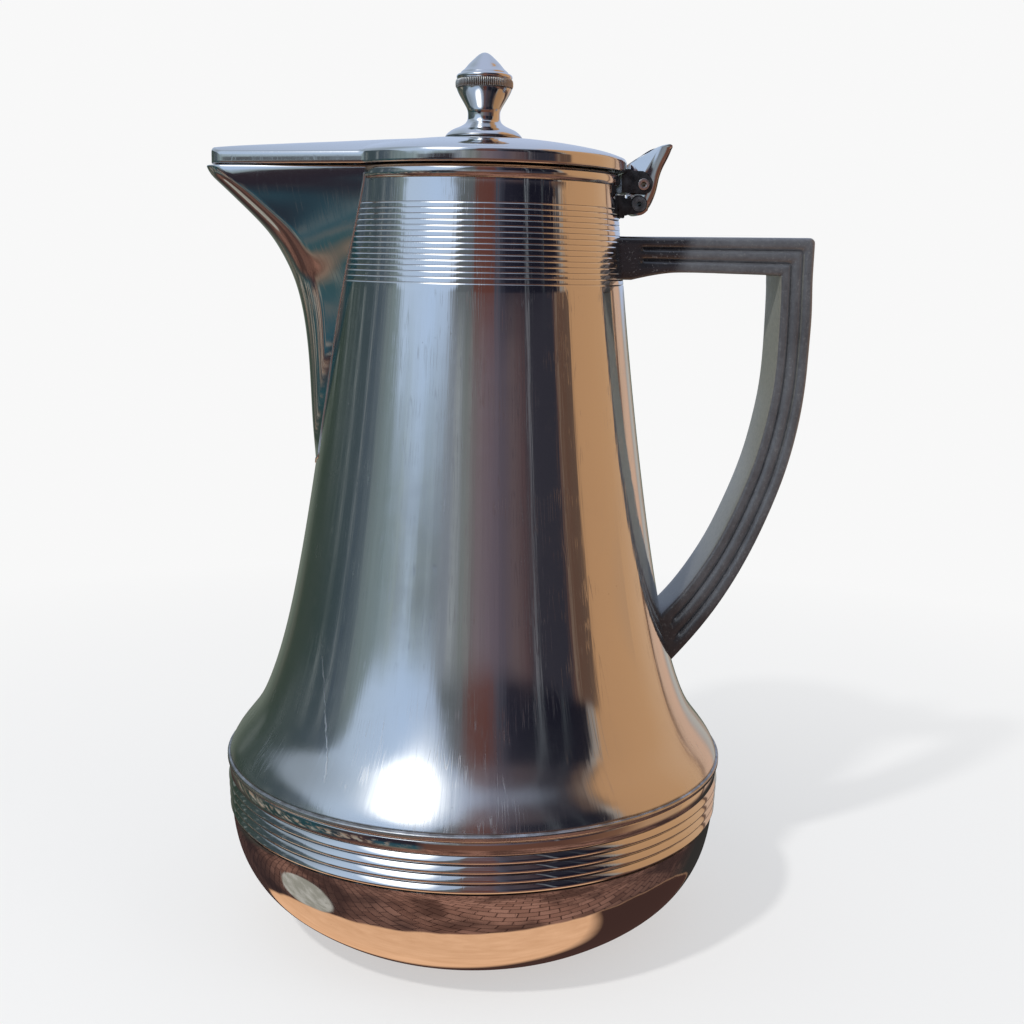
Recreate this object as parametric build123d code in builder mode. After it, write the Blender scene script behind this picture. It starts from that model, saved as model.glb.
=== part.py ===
from build123d import *
import math
import os

os.makedirs("parts", exist_ok=True)

# ---------------------------------------------------------------- dimensions
# Millimetres. Origin at the centre of the resting face, +Z up, the spout
# points to -X, the handle to +X, the hinge pin lies along Y.
SHEET = 0.9            # plated brass sheet of the outer shells
BEAD_R = 75.0          # widest point, the bead where shell and base cup meet
BEAD_Z = 52.4
SEAT_Z = 223.9         # top of the rim that the lid closes on
LID_GAP = 0.4          # air between rim and closed lid
LID_R = 41.2           # round part of the lid
LID_SKIRT_TOP = 226.8
BEAK_APEX_X = -84.2    # where the straight sides of the beak would meet
BEAK_SLOPE = 0.4636    # half width of the beak per millimetre from that apex
BEAK_TIP_R = 5.3
PIN_X, PIN_Z = 44.6, 215.9       # hinge pin axis
RIVET_X, RIVET_Z = 45.8, 221.5   # tubular rivet that ties lever and lug
PIN_R, PIN_BORE_R = 1.0, 0.7
PIN_PLAY = 0.05
GROOVES = 15
GROOVE_Z0, GROOVE_PITCH = 192.9, 1.507
GROOVE_DEPTH, GROOVE_W = 0.32, 0.62
RIB_Z0, RIB_PITCH, RIB_COUNT, RIB_H = 36.6, 2.76, 4, 0.62
RIB_VALLEY = 0.35      # how far the valleys lie inside the bowl's outline
# one rib from valley to valley: share of the pitch, share of the height
RIB_SHAPE = [(0.0, 0.0), (0.07, 0.55), (0.17, 0.90), (0.30, 1.0), (0.475, 0.895),
             (0.65, 0.695), (0.825, 0.417), (1.0, 0.0)]
FLASK_WALL = 1.8
FLASK_GAP = 3.0        # vacuum space between the two glass walls
NECK_R = 19.5
HANDLE_HALF = 8.4      # half the handle's width across

# outside radius of the upper shell against height
SHELL = [(74.203, 53.6), (73.727, 54.8), (73.129, 56.0), (72.219, 57.5), (71.159, 59.0),
         (69.997, 60.5), (68.797, 62.0), (67.258, 64.0), (65.901, 66.0), (64.503, 68.5),
         (63.138, 71.5), (61.768, 75.0), (60.378, 79.0), (58.848, 84.0), (57.25, 90.0),
         (55.626, 97.0), (53.989, 105.0), (52.329, 114.0), (50.636, 124.0),
         (49.056, 134.0), (47.569, 144.0), (46.164, 154.0), (44.835, 164.0),
         (43.58, 174.0), (42.395, 184.0), (41.455, 192.4)]
SHELL_TOP = [(39.187, 214.8), (38.72, 219.8), (38.6, 223.0)]
# outside radius of the base cup below the ribs
CUP = [(39.5, 0.0), (44.8, 0.8), (50.2, 2.7), (56.0, 6.2), (61.5, 10.4),
       (66.0, 14.9), (69.4, 20.0), (71.8, 25.6), (73.1, 31.0), (73.7, 36.5)]


def outward(points, t):
    """The same line of points, moved sideways by t (to the left of travel)."""
    out = []
    for i, (x, y) in enumerate(points):
        a = points[max(i - 1, 0)]
        b = points[min(i + 1, len(points) - 1)]
        dx, dy = b[0] - a[0], b[1] - a[1]
        n = math.hypot(dx, dy)
        out.append((x - dy / n * t, y + dx / n * t))
    return out


def shell_radius(z):
    line = SHELL + SHELL_TOP
    for (r0, z0), (r1, z1) in zip(line, line[1:]):
        if z0 <= z <= z1:
            return r0 + (r1 - r0) * (z - z0) / (z1 - z0)
    return line[-1][0] if z > line[-1][1] else line[0][0]


# ------------------------------------------------------------ shared volumes
# Everything inside the outside surface of the upper shell, a hair larger, so
# that what is soldered or screwed to the wall ends on it.
SEAT_PLAY = 0.06
skin = [(r + SEAT_PLAY, z) for r, z in SHELL]
with BuildPart() as body_volume:
    with BuildSketch(Plane.XZ):
        with BuildLine():
            Polyline((0, 40), (74.9, 40), (74.9, 53.0), skin[0])
            Spline(*skin)
            Polyline(skin[-1], *[(r + SEAT_PLAY, z) for r, z in SHELL_TOP],
                     (38.6 + SEAT_PLAY, 226), (0, 226), (0, 40))
        make_face()
    revolve(axis=Axis.Z)

# Plain outline of the lid: a disc with a rounded beak.
def lid_plan(inset):
    with BuildSketch(Plane.XY) as plan:
        with BuildLine():
            apex = BEAK_APEX_X + inset * math.sqrt(1 + BEAK_SLOPE ** 2) / BEAK_SLOPE
            Polyline((apex, 0), (-22, (-22 - apex) * BEAK_SLOPE),
                     (-22, -(-22 - apex) * BEAK_SLOPE), (apex, 0))
        make_face()
        fillet(plan.vertices().sort_by(Axis.X)[0], BEAK_TIP_R - inset)
        Circle(LID_R - inset)
    return plan.sketch


# ------------------------------------------------------------------ base cup
with BuildPart() as base_cup:
    with BuildSketch(Plane.XZ):
        with BuildLine():
            Spline(*CUP)
            z = RIB_Z0
            r = CUP[-1][0] - RIB_VALLEY
            Line(CUP[-1], (r, z))
            for i in range(RIB_COUNT):
                r2 = r + 0.12
                Spline(*[(r + 0.12 * t + f * (RIB_VALLEY + RIB_H), z + t * RIB_PITCH)
                         for t, f in RIB_SHAPE])
                r, z = r2, z + RIB_PITCH
            Polyline((r, z), (74.2, z + 0.1), (74.3, z + 0.3), (74.3, 51.3), (73.3, 51.3),
                     (73.3, 48.0), (72.75, 36.5))
            Spline((72.75, 36.5), (72.15, 31.2), (70.9, 25.9), (68.6, 20.5),
                   (65.3, 15.5), (60.9, 11.1), (55.5, 7.1), (49.8, 3.7),
                   (44.6, 1.85), (39.5, 1.1))
            Polyline((39.5, 1.1), (36.6, 1.1), (36.0, 1.6), (33.0, 1.6), (32.4, 1.1),
                     (0, 1.1), (0, 0), (32.6, 0), (33.2, 0.55), (35.8, 0.55),
                     (36.4, 0), (39.5, 0.0))
        make_face()
    revolve(axis=Axis.Z)
base_cup.part.label = "base_cup"
export_step(base_cup.part, "parts/base_cup.step")

# Collar soldered inside the shell; the cup's mouth screws over its thread.
with BuildPart() as base_collar:
    with BuildSketch(Plane.XZ):
        with BuildLine():
            pts = [(72.1, 43.0), (72.6, 43.0)]
            z = 43.6
            while z < 50.2:
                pts += [(72.6, z), (73.05, z + 0.55), (73.05, z + 0.85), (72.6, z + 1.4)]
                z += 2.2
            pts += [(72.6, 51.7), (73.3, 51.7), (73.3, 53.0), (71.9, 53.0), (71.6, 52.6),
                    (71.6, 43.4), (72.1, 43.0)]
            Polyline(*pts)
        make_face()
    revolve(axis=Axis.Z)
base_collar.part.label = "base_collar"
export_step(base_collar.part, "parts/base_collar.step")

# --------------------------------------------------------------- upper shell
groove_line = []
for i in range(GROOVES):
    zc = GROOVE_Z0 + i * GROOVE_PITCH
    for dz, d in ((-GROOVE_W / 2, 0), (0, GROOVE_DEPTH), (GROOVE_W / 2, 0)):
        zz = zc + dz
        r = 41.455 + (39.187 - 41.455) * (zz - 192.4) / (214.8 - 192.4)
        groove_line.append((r - d, zz))
with BuildPart() as upper_shell:
    inner = outward(SHELL, SHEET)
    with BuildSketch(Plane.XZ):
        with BuildLine():
            # rolled bead at the bottom edge
            Polyline((73.5, 51.5), (74.4, 51.5))
            ThreePointArc((74.4, 51.5), (75.0, BEAD_Z), (74.4, 53.3))
            Line((74.4, 53.3), SHELL[0])
            Spline(*SHELL)
            Polyline(SHELL[-1], *groove_line, *SHELL_TOP,
                     (37.7, 223.0), (37.8, 219.8), (38.25, 214.8), inner[-1])
            Spline(*reversed(inner))
            Polyline(inner[0], (73.5, 53.6), (73.5, 51.5))
        make_face()
    revolve(axis=Axis.Z)
    # pouring window towards the spout
    with BuildSketch(Plane.YZ.offset(-52)):
        Polygon((-15.5, 224), (15.5, 224), (14.5, 216), (12, 211.6), (-12, 211.6),
                (-14.5, 216), align=None)
    extrude(amount=26, mode=Mode.SUBTRACT)
    # clearance holes of the handle screws
    for zc in (89.0, 201.5):
        with Locations(Plane(origin=(66, 0, zc), z_dir=(1, 0, 0))):
            with Locations((0, 4.2), (0, -4.2)):
                Cylinder(1.75, 60, rotation=(0, 0, 0), mode=Mode.SUBTRACT)
    with Locations(Plane(origin=(40, 0, 213.4), z_dir=(1, 0, 0))):
        with Locations((0, 3.0), (0, -3.0)):
            Cylinder(0.85, 8, mode=Mode.SUBTRACT)
upper_shell.part.label = "upper_shell"
export_step(upper_shell.part, "parts/upper_shell.step")

# --------------------------------------------------------------------- spout
# Level sections of the V shaped spout: height, how far the keel stands out,
# radius of the rounded keel, and the angle of the seam on the body.
SPOUT = [(135.0, 47.9, 5.5, 8.0), (141.0, 48.25, 6.0, 8.6), (149.0, 48.9, 6.5, 7.8),
         (157.8, 49.4, 7.0, 8.8), (168.0, 49.9, 7.5, 10.2), (178.0, 50.8, 8.5, 12.0),
         (186.8, 52.3, 9.5, 14.6), (194.0, 54.5, 10.5, 17.4), (200.0, 57.4, 11.5, 19.9),
         (205.5, 61.0, 11.5, 22.6), (210.5, 65.6, 10.5, 24.8), (215.0, 70.3, 8.8, 26.6),
         (219.0, 74.6, 6.8, 28.0), (221.6, 77.2, 5.3, 28.7), (223.9, 78.4, 4.2, 29.0)]


def spout_section(z, keel, kr, phi, t, back=7.0, root=2.0):
    """Corner points of one level section, moved inward by t."""
    r = shell_radius(z)
    a = math.radians(phi)
    low = keel < r + 0.3                  # the keel sinks into the wall here
    rr = r - root if low else r
    sx, sy = rr * math.cos(a), rr * math.sin(a)
    cx = keel - kr
    dx, dy = sx - cx, sy
    d = math.hypot(dx, dy)
    beta = math.atan2(dy, dx) - math.acos(max(-1.0, min(1.0, kr / d)))
    nx, ny = math.cos(beta), math.sin(beta)       # outward normal of the side
    if not low:                           # start a little inside the wall
        ux, uy = sx - (cx + kr * nx), sy - kr * ny
        n = math.hypot(ux, uy)
        sx, sy = sx + ux / n * root, sy + uy / n * root
    k = kr - t
    tx, ty = cx + k * nx, k * ny
    sx, sy = sx - t * nx, sy - t * ny
    return (sx, sy), (tx, ty), (keel - t, 0.0), sx - back


def spout_solid(t, lift=0.0):
    with BuildPart() as body:
        for z, keel, kr, phi in SPOUT:
            (sx, sy), (tx, ty), (kx, _), bx = spout_section(z, keel, kr, phi, t)
            zz = z + (lift if z == SPOUT[-1][0] else 0.0)
            with BuildSketch(Plane.XY.offset(zz)):
                with BuildLine():
                    Polyline((-tx, -ty), (-sx, -sy), (-bx, -sy), (-bx, sy),
                             (-sx, sy), (-tx, ty))
                    ThreePointArc((-tx, ty), (-kx, 0), (-tx, -ty))
                make_face()
        loft()
    return body.part


spout_outer = spout_solid(0.0)
spout_inner = spout_solid(SHEET)
with BuildPart() as spout_shell:
    add(spout_outer)
    add(spout_inner, mode=Mode.SUBTRACT)
    add(body_volume.part, mode=Mode.SUBTRACT)
spout_shell.part.label = "spout_shell"
export_step(spout_shell.part, "parts/spout_shell.step")

# Floor of the pouring lip, soldered inside the spout under the window.
TRAY_X0, TRAY_Z0, TRAY_X1, TRAY_Z1 = 37.0, 211.9, 77.0, 220.6
with BuildPart() as spout_tray:
    with BuildSketch(Plane.XZ.offset(-30)):
        Polygon((-TRAY_X0, TRAY_Z0), (-TRAY_X1, TRAY_Z1), (-TRAY_X1, TRAY_Z1 - 0.8),
                (-TRAY_X0, TRAY_Z0 - 0.8), align=None)
    extrude(amount=60)
    add(spout_solid(SHEET + 0.04), mode=Mode.INTERSECT)
    add(body_volume.part, mode=Mode.SUBTRACT)
spout_tray.part.label = "spout_tray"
export_step(spout_tray.part, "parts/spout_tray.step")

# ------------------------------------------------------------------ rim band
with BuildPart() as rim_band:
    with BuildSketch(Plane.XZ):
        with BuildLine():
            Polyline((38.72, 223.05), (38.72, 220.5), (39.1, 220.5))
            ThreePointArc((39.1, 220.5), (39.55, 222.1), (39.0, SEAT_Z))
            Polyline((39.0, SEAT_Z), (37.2, SEAT_Z), (36.9, 223.5), (37.0, 223.05),
                     (38.72, 223.05))
        make_face()
    revolve(axis=Axis.Z)
    with BuildSketch(Plane.XY.offset(218)):
        Polygon((-25, -15.2), (-46, -28.2), (-46, 28.2), (-25, 15.2), align=None)
    extrude(amount=8, mode=Mode.SUBTRACT)
rim_band.part.label = "rim_band"
export_step(rim_band.part, "parts/rim_band.step")

# --------------------------------------------------------------- pour funnel
with BuildPart() as pour_funnel:
    with BuildSketch(Plane.XZ):
        with BuildLine():
            Polyline((37.55, 223.0), (37.75, 215.6), (37.2, 214.2), (23.6, 208.4),
                     (22.2, 206.6), (22.2, 199.6), (21.4, 199.6), (21.4, 207.0),
                     (22.9, 209.1), (36.4, 214.9), (36.9, 216.0), (36.75, 223.0),
                     (37.55, 223.0))
        make_face()
    revolve(axis=Axis.Z)
    with BuildSketch(Plane.YZ.offset(-50)):
        Polygon((-15.5, 224), (15.5, 224), (14.5, 217), (13.6, 215.2), (-13.6, 215.2),
                (-14.5, 217), align=None)
    extrude(amount=26, mode=Mode.SUBTRACT)
pour_funnel.part.label = "pour_funnel"
export_step(pour_funnel.part, "parts/pour_funnel.step")

# Rubber ring between glass mouth and funnel neck.
with BuildPart() as neck_gasket:
    with BuildSketch(Plane.XZ):
        with BuildLine():
            Polyline((20.2, 200.2), (21.3, 200.2), (21.3, 207.4), (21.9, 208.3),
                     (20.8, 208.6), (17.2, 208.6), (16.6, 207.9), (16.6, 207.1),
                     (19.6, 207.1), (19.6, 203.2), (20.2, 200.2))
        make_face()
    revolve(axis=Axis.Z)
neck_gasket.part.label = "neck_gasket"
export_step(neck_gasket.part, "parts/neck_gasket.step")

# --------------------------------------------------------------- glass flask
# Outside of the outer wall; the inner wall follows it at a constant distance.
FLASK = [(0.01, 12.0), (14.0, 12.3), (28.0, 13.9), (41.0, 17.6), (52.0, 24.4),
         (59.0, 34.0), (61.6, 44.0), (60.6, 54.0), (57.4, 66.0), (52.4, 80.0),
         (47.6, 96.0), (43.6, 113.0), (40.6, 133.0), (38.6, 153.0), (36.6, 167.0),
         (33.0, 179.0), (27.6, 187.6), (22.6, 193.6), (20.2, 198.6), (19.5, 203.0)]
LIP_Z = 207.0


def wall(t0, t1, top):
    """Closed half section of a glass wall between depths t0 and t1."""
    a = [(max(r, 0.0), z) for r, z in outward(FLASK, t0)]
    b = [(max(r, 0.0), z) for r, z in outward(FLASK, t1)]
    a[0], b[0] = (0.0, FLASK[0][1] + t0), (0.0, FLASK[0][1] + t1)
    a[-1], b[-1] = (NECK_R - t0, 203.0), (NECK_R - t1, 203.0)
    return a, b


with BuildPart() as flask_outer_bulb:
    a, b = wall(0.0, FLASK_WALL, LIP_Z)
    with BuildSketch(Plane.XZ):
        with BuildLine():
            Spline(*a, tangents=[(1, 0), (0, 1)])
            Polyline(a[-1], (NECK_R, 204.6), (NECK_R - FLASK_WALL, 204.6), b[-1])
            Spline(*b, tangents=[(1, 0), (0, 1)])
            Line(b[0], a[0])
        make_face()
    revolve(axis=Axis.Z)
    # sealed evacuation tip
    with BuildSketch(Plane.XZ):
        with BuildLine():
            Polyline((0, 12.4), (2.6, 12.4), (2.2, 10.4), (1.0, 7.6), (0, 7.2), (0, 12.4))
        make_face()
    revolve(axis=Axis.Z)
flask_outer_bulb.part.label = "flask_outer_bulb"
export_step(flask_outer_bulb.part, "parts/flask_outer_bulb.step")

IN0, IN1 = FLASK_WALL + FLASK_GAP, 2 * FLASK_WALL + FLASK_GAP
with BuildPart() as flask_inner_bulb:
    a, b = wall(IN0, IN1, LIP_Z)
    with BuildSketch(Plane.XZ):
        with BuildLine():
            Spline(*a, tangents=[(1, 0), (0, 1)])
            Polyline(a[-1], (NECK_R - IN0, 204.6), (NECK_R, 204.6))
            ThreePointArc((NECK_R, 204.6), ((NECK_R + NECK_R - IN1) / 2, LIP_Z),
                          (NECK_R - IN1, 204.6))
            Line((NECK_R - IN1, 204.6), b[-1])
            Spline(*b, tangents=[(1, 0), (0, 1)])
            Line(b[0], a[0])
        make_face()
    revolve(axis=Axis.Z)
flask_inner_bulb.part.label = "flask_inner_bulb"
export_step(flask_inner_bulb.part, "parts/flask_inner_bulb.step")

# Three small pads that keep the two walls apart.
with BuildPart() as flask_spacers:
    for k in range(3):
        a = math.radians(90 + 120 * k)
        rr = 60.95 - FLASK_WALL - FLASK_GAP / 2
        with Locations(Plane(origin=(rr * math.cos(a), rr * math.sin(a), 51.0),
                             x_dir=(-math.sin(a), math.cos(a), 0),
                             z_dir=(math.cos(a), math.sin(a), 0))):
            Cylinder(2.8, 1.9)
flask_spacers.part.label = "flask_spacers"
export_step(flask_spacers.part, "parts/flask_spacers.step")

# Felt ring that centres the flask's shoulder in the shell.
with BuildPart() as shoulder_ring:
    with BuildSketch(Plane.XZ):
        with BuildLine():
            Polyline((39.5, 152.0), (45.2, 152.0), (43.9, 162.6), (38.1, 162.6),
                     (39.5, 152.0))
        make_face()
    revolve(axis=Axis.Z)
shoulder_ring.part.label = "shoulder_ring"
export_step(shoulder_ring.part, "parts/shoulder_ring.step")

# Rubber cup in the base that carries the flask.
with BuildPart() as base_cushion:
    with BuildSketch(Plane.XZ):
        with BuildLine():
            Polyline((6.0, 1.7), (34.0, 1.7), (39.0, 2.6), (45.0, 6.0), (47.3, 11.0),
                     (47.6, 19.9), (45.0, 19.0), (41.2, 17.0), (28.0, 13.2),
                     (14.0, 11.7), (6.0, 11.5), (6.0, 1.7))
        make_face()
    revolve(axis=Axis.Z)
base_cushion.part.label = "base_cushion"
export_step(base_cushion.part, "parts/base_cushion.step")

# -------------------------------------------------------------------- handle
OUT_LINE = [(97.3, 195.0), (97.6, 186.0), (97.4, 176.0), (97.0, 166.0), (96.0, 156.0),
            (94.3, 146.5), (91.7, 136.5), (88.2, 126.5), (83.8, 116.0), (78.2, 105.0),
            (71.8, 94.8), (65.0, 86.0), (58.0, 78.0)]
IN_LINE = [(87.5, 190.0), (87.5, 182.0), (87.3, 171.5), (86.6, 162.5), (85.1, 153.5),
           (82.9, 144.0), (80.0, 135.0), (76.4, 126.0), (72.0, 116.6), (66.6, 107.6),
           (60.6, 99.6), (54.0, 92.5)]
TOP_Z0, TOP_Z1, BAR_Z = 206.6, 207.4, 196.8
with BuildPart() as handle:
    with BuildSketch(Plane.XZ.offset(-HANDLE_HALF)):
        with BuildLine():
            Polyline((36.0, TOP_Z0), (97.0, TOP_Z1), OUT_LINE[0])
            Spline(*OUT_LINE)
            Line(OUT_LINE[-1], (50.0, 80.0))
            Line((50.0, 80.0), (50.0, 90.0))
            Line((50.0, 90.0), IN_LINE[-1])
            Spline(*reversed(IN_LINE))
            Polyline(IN_LINE[0], (87.3, BAR_Z - 0.3), (60.0, BAR_Z))
            Spline((60.0, BAR_Z), (54.0, 196.5), (47.0, 195.3), (42.4, 194.2),
                   (36.0, 192.4))
            Line((36.0, 192.4), (36.0, TOP_Z0))
        make_face()
    extrude(amount=2 * HANDLE_HALF)
    add(body_volume.part, mode=Mode.SUBTRACT)
    # two shallow grooves along each side, following the outline
    for f in (0.345, 0.69):
        zt = TOP_Z0 + 0.3 - f * (TOP_Z0 - BAR_Z)
        curve = []
        for i in range(len(OUT_LINE) - 1):
            k = i * (len(IN_LINE) - 1) / (len(OUT_LINE) - 2)
            j = min(int(k), len(IN_LINE) - 2)
            q = k - j
            ix = IN_LINE[j][0] * (1 - q) + IN_LINE[j + 1][0] * q
            iz = IN_LINE[j][1] * (1 - q) + IN_LINE[j + 1][1] * q
            curve.append((OUT_LINE[i][0] * (1 - f) + ix * f,
                          OUT_LINE[i][1] * (1 - f) + iz * f))
        curve = curve[1:-1]
        corner = (curve[0][0] + 0.1, zt)
        path = [(47.0, zt), corner] + curve
        left = outward(path[2:], 0.45)
        right = outward(path[2:], -0.45)
        for side in (-1, 1):
            with BuildSketch(Plane.XZ.offset(side * HANDLE_HALF)):
                with BuildLine():
                    Polyline(left[0], (corner[0] + 0.45, zt + 0.45), (47.0, zt + 0.45),
                             (47.0, zt - 0.45), (corner[0] - 0.45, zt - 0.45), right[0])
                    Spline(*right)
                    Line(right[-1], left[-1])
                    Spline(*reversed(left))
                make_face()
            extrude(amount=0.9 * -side, mode=Mode.SUBTRACT)
    # bores of the moulded-in nuts
    for zc, xc, depth in ((201.5, 41.0, 14.0), (89.0, 58.0, 6.0)):
        with Locations(Plane(origin=(xc + depth / 2 - 1, 0, zc), z_dir=(1, 0, 0))):
            with Locations((0, 4.2), (0, -4.2)):
                Cylinder(2.5, depth + 2, mode=Mode.SUBTRACT)
handle.part.label = "handle"
export_step(handle.part, "parts/handle.step")

# Brass nuts moulded into the ends of the handle, and what screws into them.
HANDLE_FIX = ((201.5, 41.0, 14.0), (89.0, 58.0, 6.0))
with BuildPart() as handle_nuts:
    for zc, xc, depth in HANDLE_FIX:
        with Locations(Plane(origin=(xc + depth / 2, 0, zc), z_dir=(1, 0, 0))):
            with Locations((0, 4.2), (0, -4.2)):
                Cylinder(2.5, depth - 1.0)
                Cylinder(1.5, depth, mode=Mode.SUBTRACT)
handle_nuts.part.label = "handle_nuts"
export_step(handle_nuts.part, "parts/handle_nuts.step")

SCREW_HEADS = ((201.5, 37.9, 16.0), (89.0, 54.6, 8.5))
with BuildPart() as handle_screws:
    for zc, xh, length in SCREW_HEADS:
        with Locations(Plane(origin=(xh, 0, zc), z_dir=(1, 0, 0))):
            with Locations((0, 4.2), (0, -4.2)):
                Cylinder(1.45, length, align=(Align.CENTER, Align.CENTER, Align.MIN))
                Cylinder(2.8, 1.6, align=(Align.CENTER, Align.CENTER, Align.MAX))
    for zc, xh, length in SCREW_HEADS:
        for y in (4.2, -4.2):
            with BuildSketch(Plane(origin=(xh - 1.6, y, zc), z_dir=(1, 0, 0))):
                Rectangle(0.7, 6)
            extrude(amount=0.7, mode=Mode.SUBTRACT)
handle_screws.part.label = "handle_screws"
export_step(handle_screws.part, "parts/handle_screws.step")

# Curved saddle plates between screw heads and the inside of the shell.
with BuildPart() as shell_cavity:
    inner = outward(SHELL, SHEET + 0.2)
    with BuildSketch(Plane.XZ):
        with BuildLine():
            wall_line = [p for p in inner[:-1] if p[1] > 57]
            Polyline((0, 57), (wall_line[0][0] - 0.2, 57), *wall_line, (38.1, 214.8),
                     (0, 214.8), (0, 57))
        make_face()
    revolve(axis=Axis.Z)
with BuildPart() as handle_saddles:
    for zc, xh, _ in SCREW_HEADS:
        with Locations((xh + 3.0, 0, zc)):
            Box(6.0, 15.0, 9.0)
    add(shell_cavity.part, mode=Mode.INTERSECT)
    for zc, xh, _ in SCREW_HEADS:
        with Locations(Plane(origin=(xh + 3, 0, zc), z_dir=(1, 0, 0))):
            with Locations((0, 4.2), (0, -4.2)):
                Cylinder(1.6, 12, mode=Mode.SUBTRACT)
handle_saddles.part.label = "handle_saddles"
export_step(handle_saddles.part, "parts/handle_saddles.step")

# --------------------------------------------------------------------- hinge
ARM_Y0, ARM_Y1 = 5.5, 6.4        # outer plane: bracket arms and lug ears
with BuildPart() as hinge_bracket:
    with Locations((38.8, 0, 215.1)):
        Box(3.0, 16.0, 6.4)
    add(body_volume.part, mode=Mode.SUBTRACT)
    for side in (-1, 1):
        y0 = side * ARM_Y0
        with BuildSketch(Plane.XZ.offset(-y0)):
            Polygon((39.6, 212.6), (43.2, 213.0), (PIN_X, PIN_Z - 2.4),
                    (PIN_X, PIN_Z + 2.0), (43.0, 217.2), (39.6, 217.6), align=None)
            with Locations((PIN_X, PIN_Z)):
                Circle(2.45)
        extrude(amount=-side * (ARM_Y1 - ARM_Y0))
    with Locations(Plane(origin=(PIN_X, 0, PIN_Z), z_dir=(0, 1, 0))):
        Cylinder(PIN_R + 0.02, 20, mode=Mode.SUBTRACT)
    with Locations(Plane(origin=(39, 0, 213.4), z_dir=(1, 0, 0))):
        with Locations((0, 3.0), (0, -3.0)):
            Cylinder(0.85, 8, mode=Mode.SUBTRACT)
hinge_bracket.part.label = "hinge_bracket"
export_step(hinge_bracket.part, "parts/hinge_bracket.step")

with BuildPart() as hinge_bracket_rivets:
    for y in (3.0, -3.0):
        with Locations(Plane(origin=(37.4, y, 213.4), z_dir=(1, 0, 0))):
            Cylinder(0.8, 3.15, align=(Align.CENTER, Align.CENTER, Align.MIN))
            Cylinder(1.3, 0.6, align=(Align.CENTER, Align.CENTER, Align.MIN))
        with Locations((40.3, y, 213.4)):
            Cylinder(1.5, 0.6, rotation=(0, 90, 0),
                     align=(Align.CENTER, Align.CENTER, Align.MIN))
hinge_bracket_rivets.part.label = "hinge_bracket_rivets"
export_step(hinge_bracket_rivets.part, "parts/hinge_bracket_rivets.step")

with BuildPart() as hinge_pin:
    with Locations(Plane(origin=(PIN_X, 0, PIN_Z), z_dir=(0, 1, 0))):
        Cylinder(PIN_R, 2 * ARM_Y1 + 0.2)
        with Locations((0, 0, ARM_Y1 + 0.35), (0, 0, -ARM_Y1 - 0.35)):
            Cylinder(2.15, 0.5)
        Cylinder(PIN_BORE_R, 20, mode=Mode.SUBTRACT)
hinge_pin.part.label = "hinge_pin"
export_step(hinge_pin.part, "parts/hinge_pin.step")

# ----------------------------------------------------------------- lid shell
DOME = [(11.0, 233.2), (14.0, 232.9), (20.0, 232.3), (26.0, 231.5), (31.0, 230.6),
        (36.0, 229.6), (38.8, 228.7), (40.4, 227.9), (LID_R, LID_SKIRT_TOP)]
RIDGE = [(-80.0, 228.5), (-74.5, 229.1), (-60.0, 230.2), (-41.0, 231.5), (-25.0, 232.45),
         (-12.0, 232.95)]
LID_Z0 = SEAT_Z + LID_GAP


def lid_solid(t):
    plan = lid_plan(t)
    with BuildPart() as beak:
        for x, zt in RIDGE:
            apex = BEAK_APEX_X + t * math.sqrt(1 + BEAK_SLOPE ** 2) / BEAK_SLOPE
            w = max((x - apex) * BEAK_SLOPE, 1.2)
            with BuildSketch(Plane.YZ.offset(x)):
                with BuildLine():
                    Polyline((-w, LID_SKIRT_TOP - t), (-w, LID_Z0 - 2), (w, LID_Z0 - 2),
                             (w, LID_SKIRT_TOP - t))
                    ThreePointArc((w, LID_SKIRT_TOP - t), (0, zt - t),
                                  (-w, LID_SKIRT_TOP - t))
                make_face()
        loft()
    with BuildPart() as trimmed:
        with BuildSketch(Plane.XY.offset(LID_Z0 - (1 if t else 0))):
            add(plan)
        extrude(amount=12)
        add(beak.part, mode=Mode.INTERSECT)
    with BuildPart() as whole:
        with BuildSketch(Plane.XZ):
            with BuildLine():
                dome = [(r if r < 12 else r - t * 0.75, z - t) for r, z in DOME[:-1]]
                dome.append((LID_R - t, LID_SKIRT_TOP - t))
                Polyline((0, LID_Z0 - (1 if t else 0)), (0, 233.3 - t), dome[0])
                Spline(*dome)
                Polyline(dome[-1], (LID_R - t, LID_Z0 - (1 if t else 0)),
                         (0, LID_Z0 - (1 if t else 0)))
            make_face()
        revolve(axis=Axis.Z)
        add(trimmed.part)
    return whole.part


lid_outer = lid_solid(0.0)
lid_inner = lid_solid(SHEET)
STUD_R = 2.0
with BuildPart() as lid_shell:
    add(lid_outer)
    add(lid_inner, mode=Mode.SUBTRACT)
    with Locations((0, 0, 232)):
        Cylinder(STUD_R + 0.1, 6, mode=Mode.SUBTRACT)
lid_shell.part.label = "lid_shell"
export_step(lid_shell.part, "parts/lid_shell.step")

# Flat plate that closes the lid from below, pressed into the skirt.
with BuildPart() as lid_liner:
    with BuildSketch(Plane.XY.offset(LID_Z0 + 0.4)):
        add(lid_plan(SHEET + 0.06))
        Circle(STUD_R + 0.1, mode=Mode.SUBTRACT)
    extrude(amount=0.7)
lid_liner.part.label = "lid_liner"
export_step(lid_liner.part, "parts/lid_liner.step")

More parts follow.
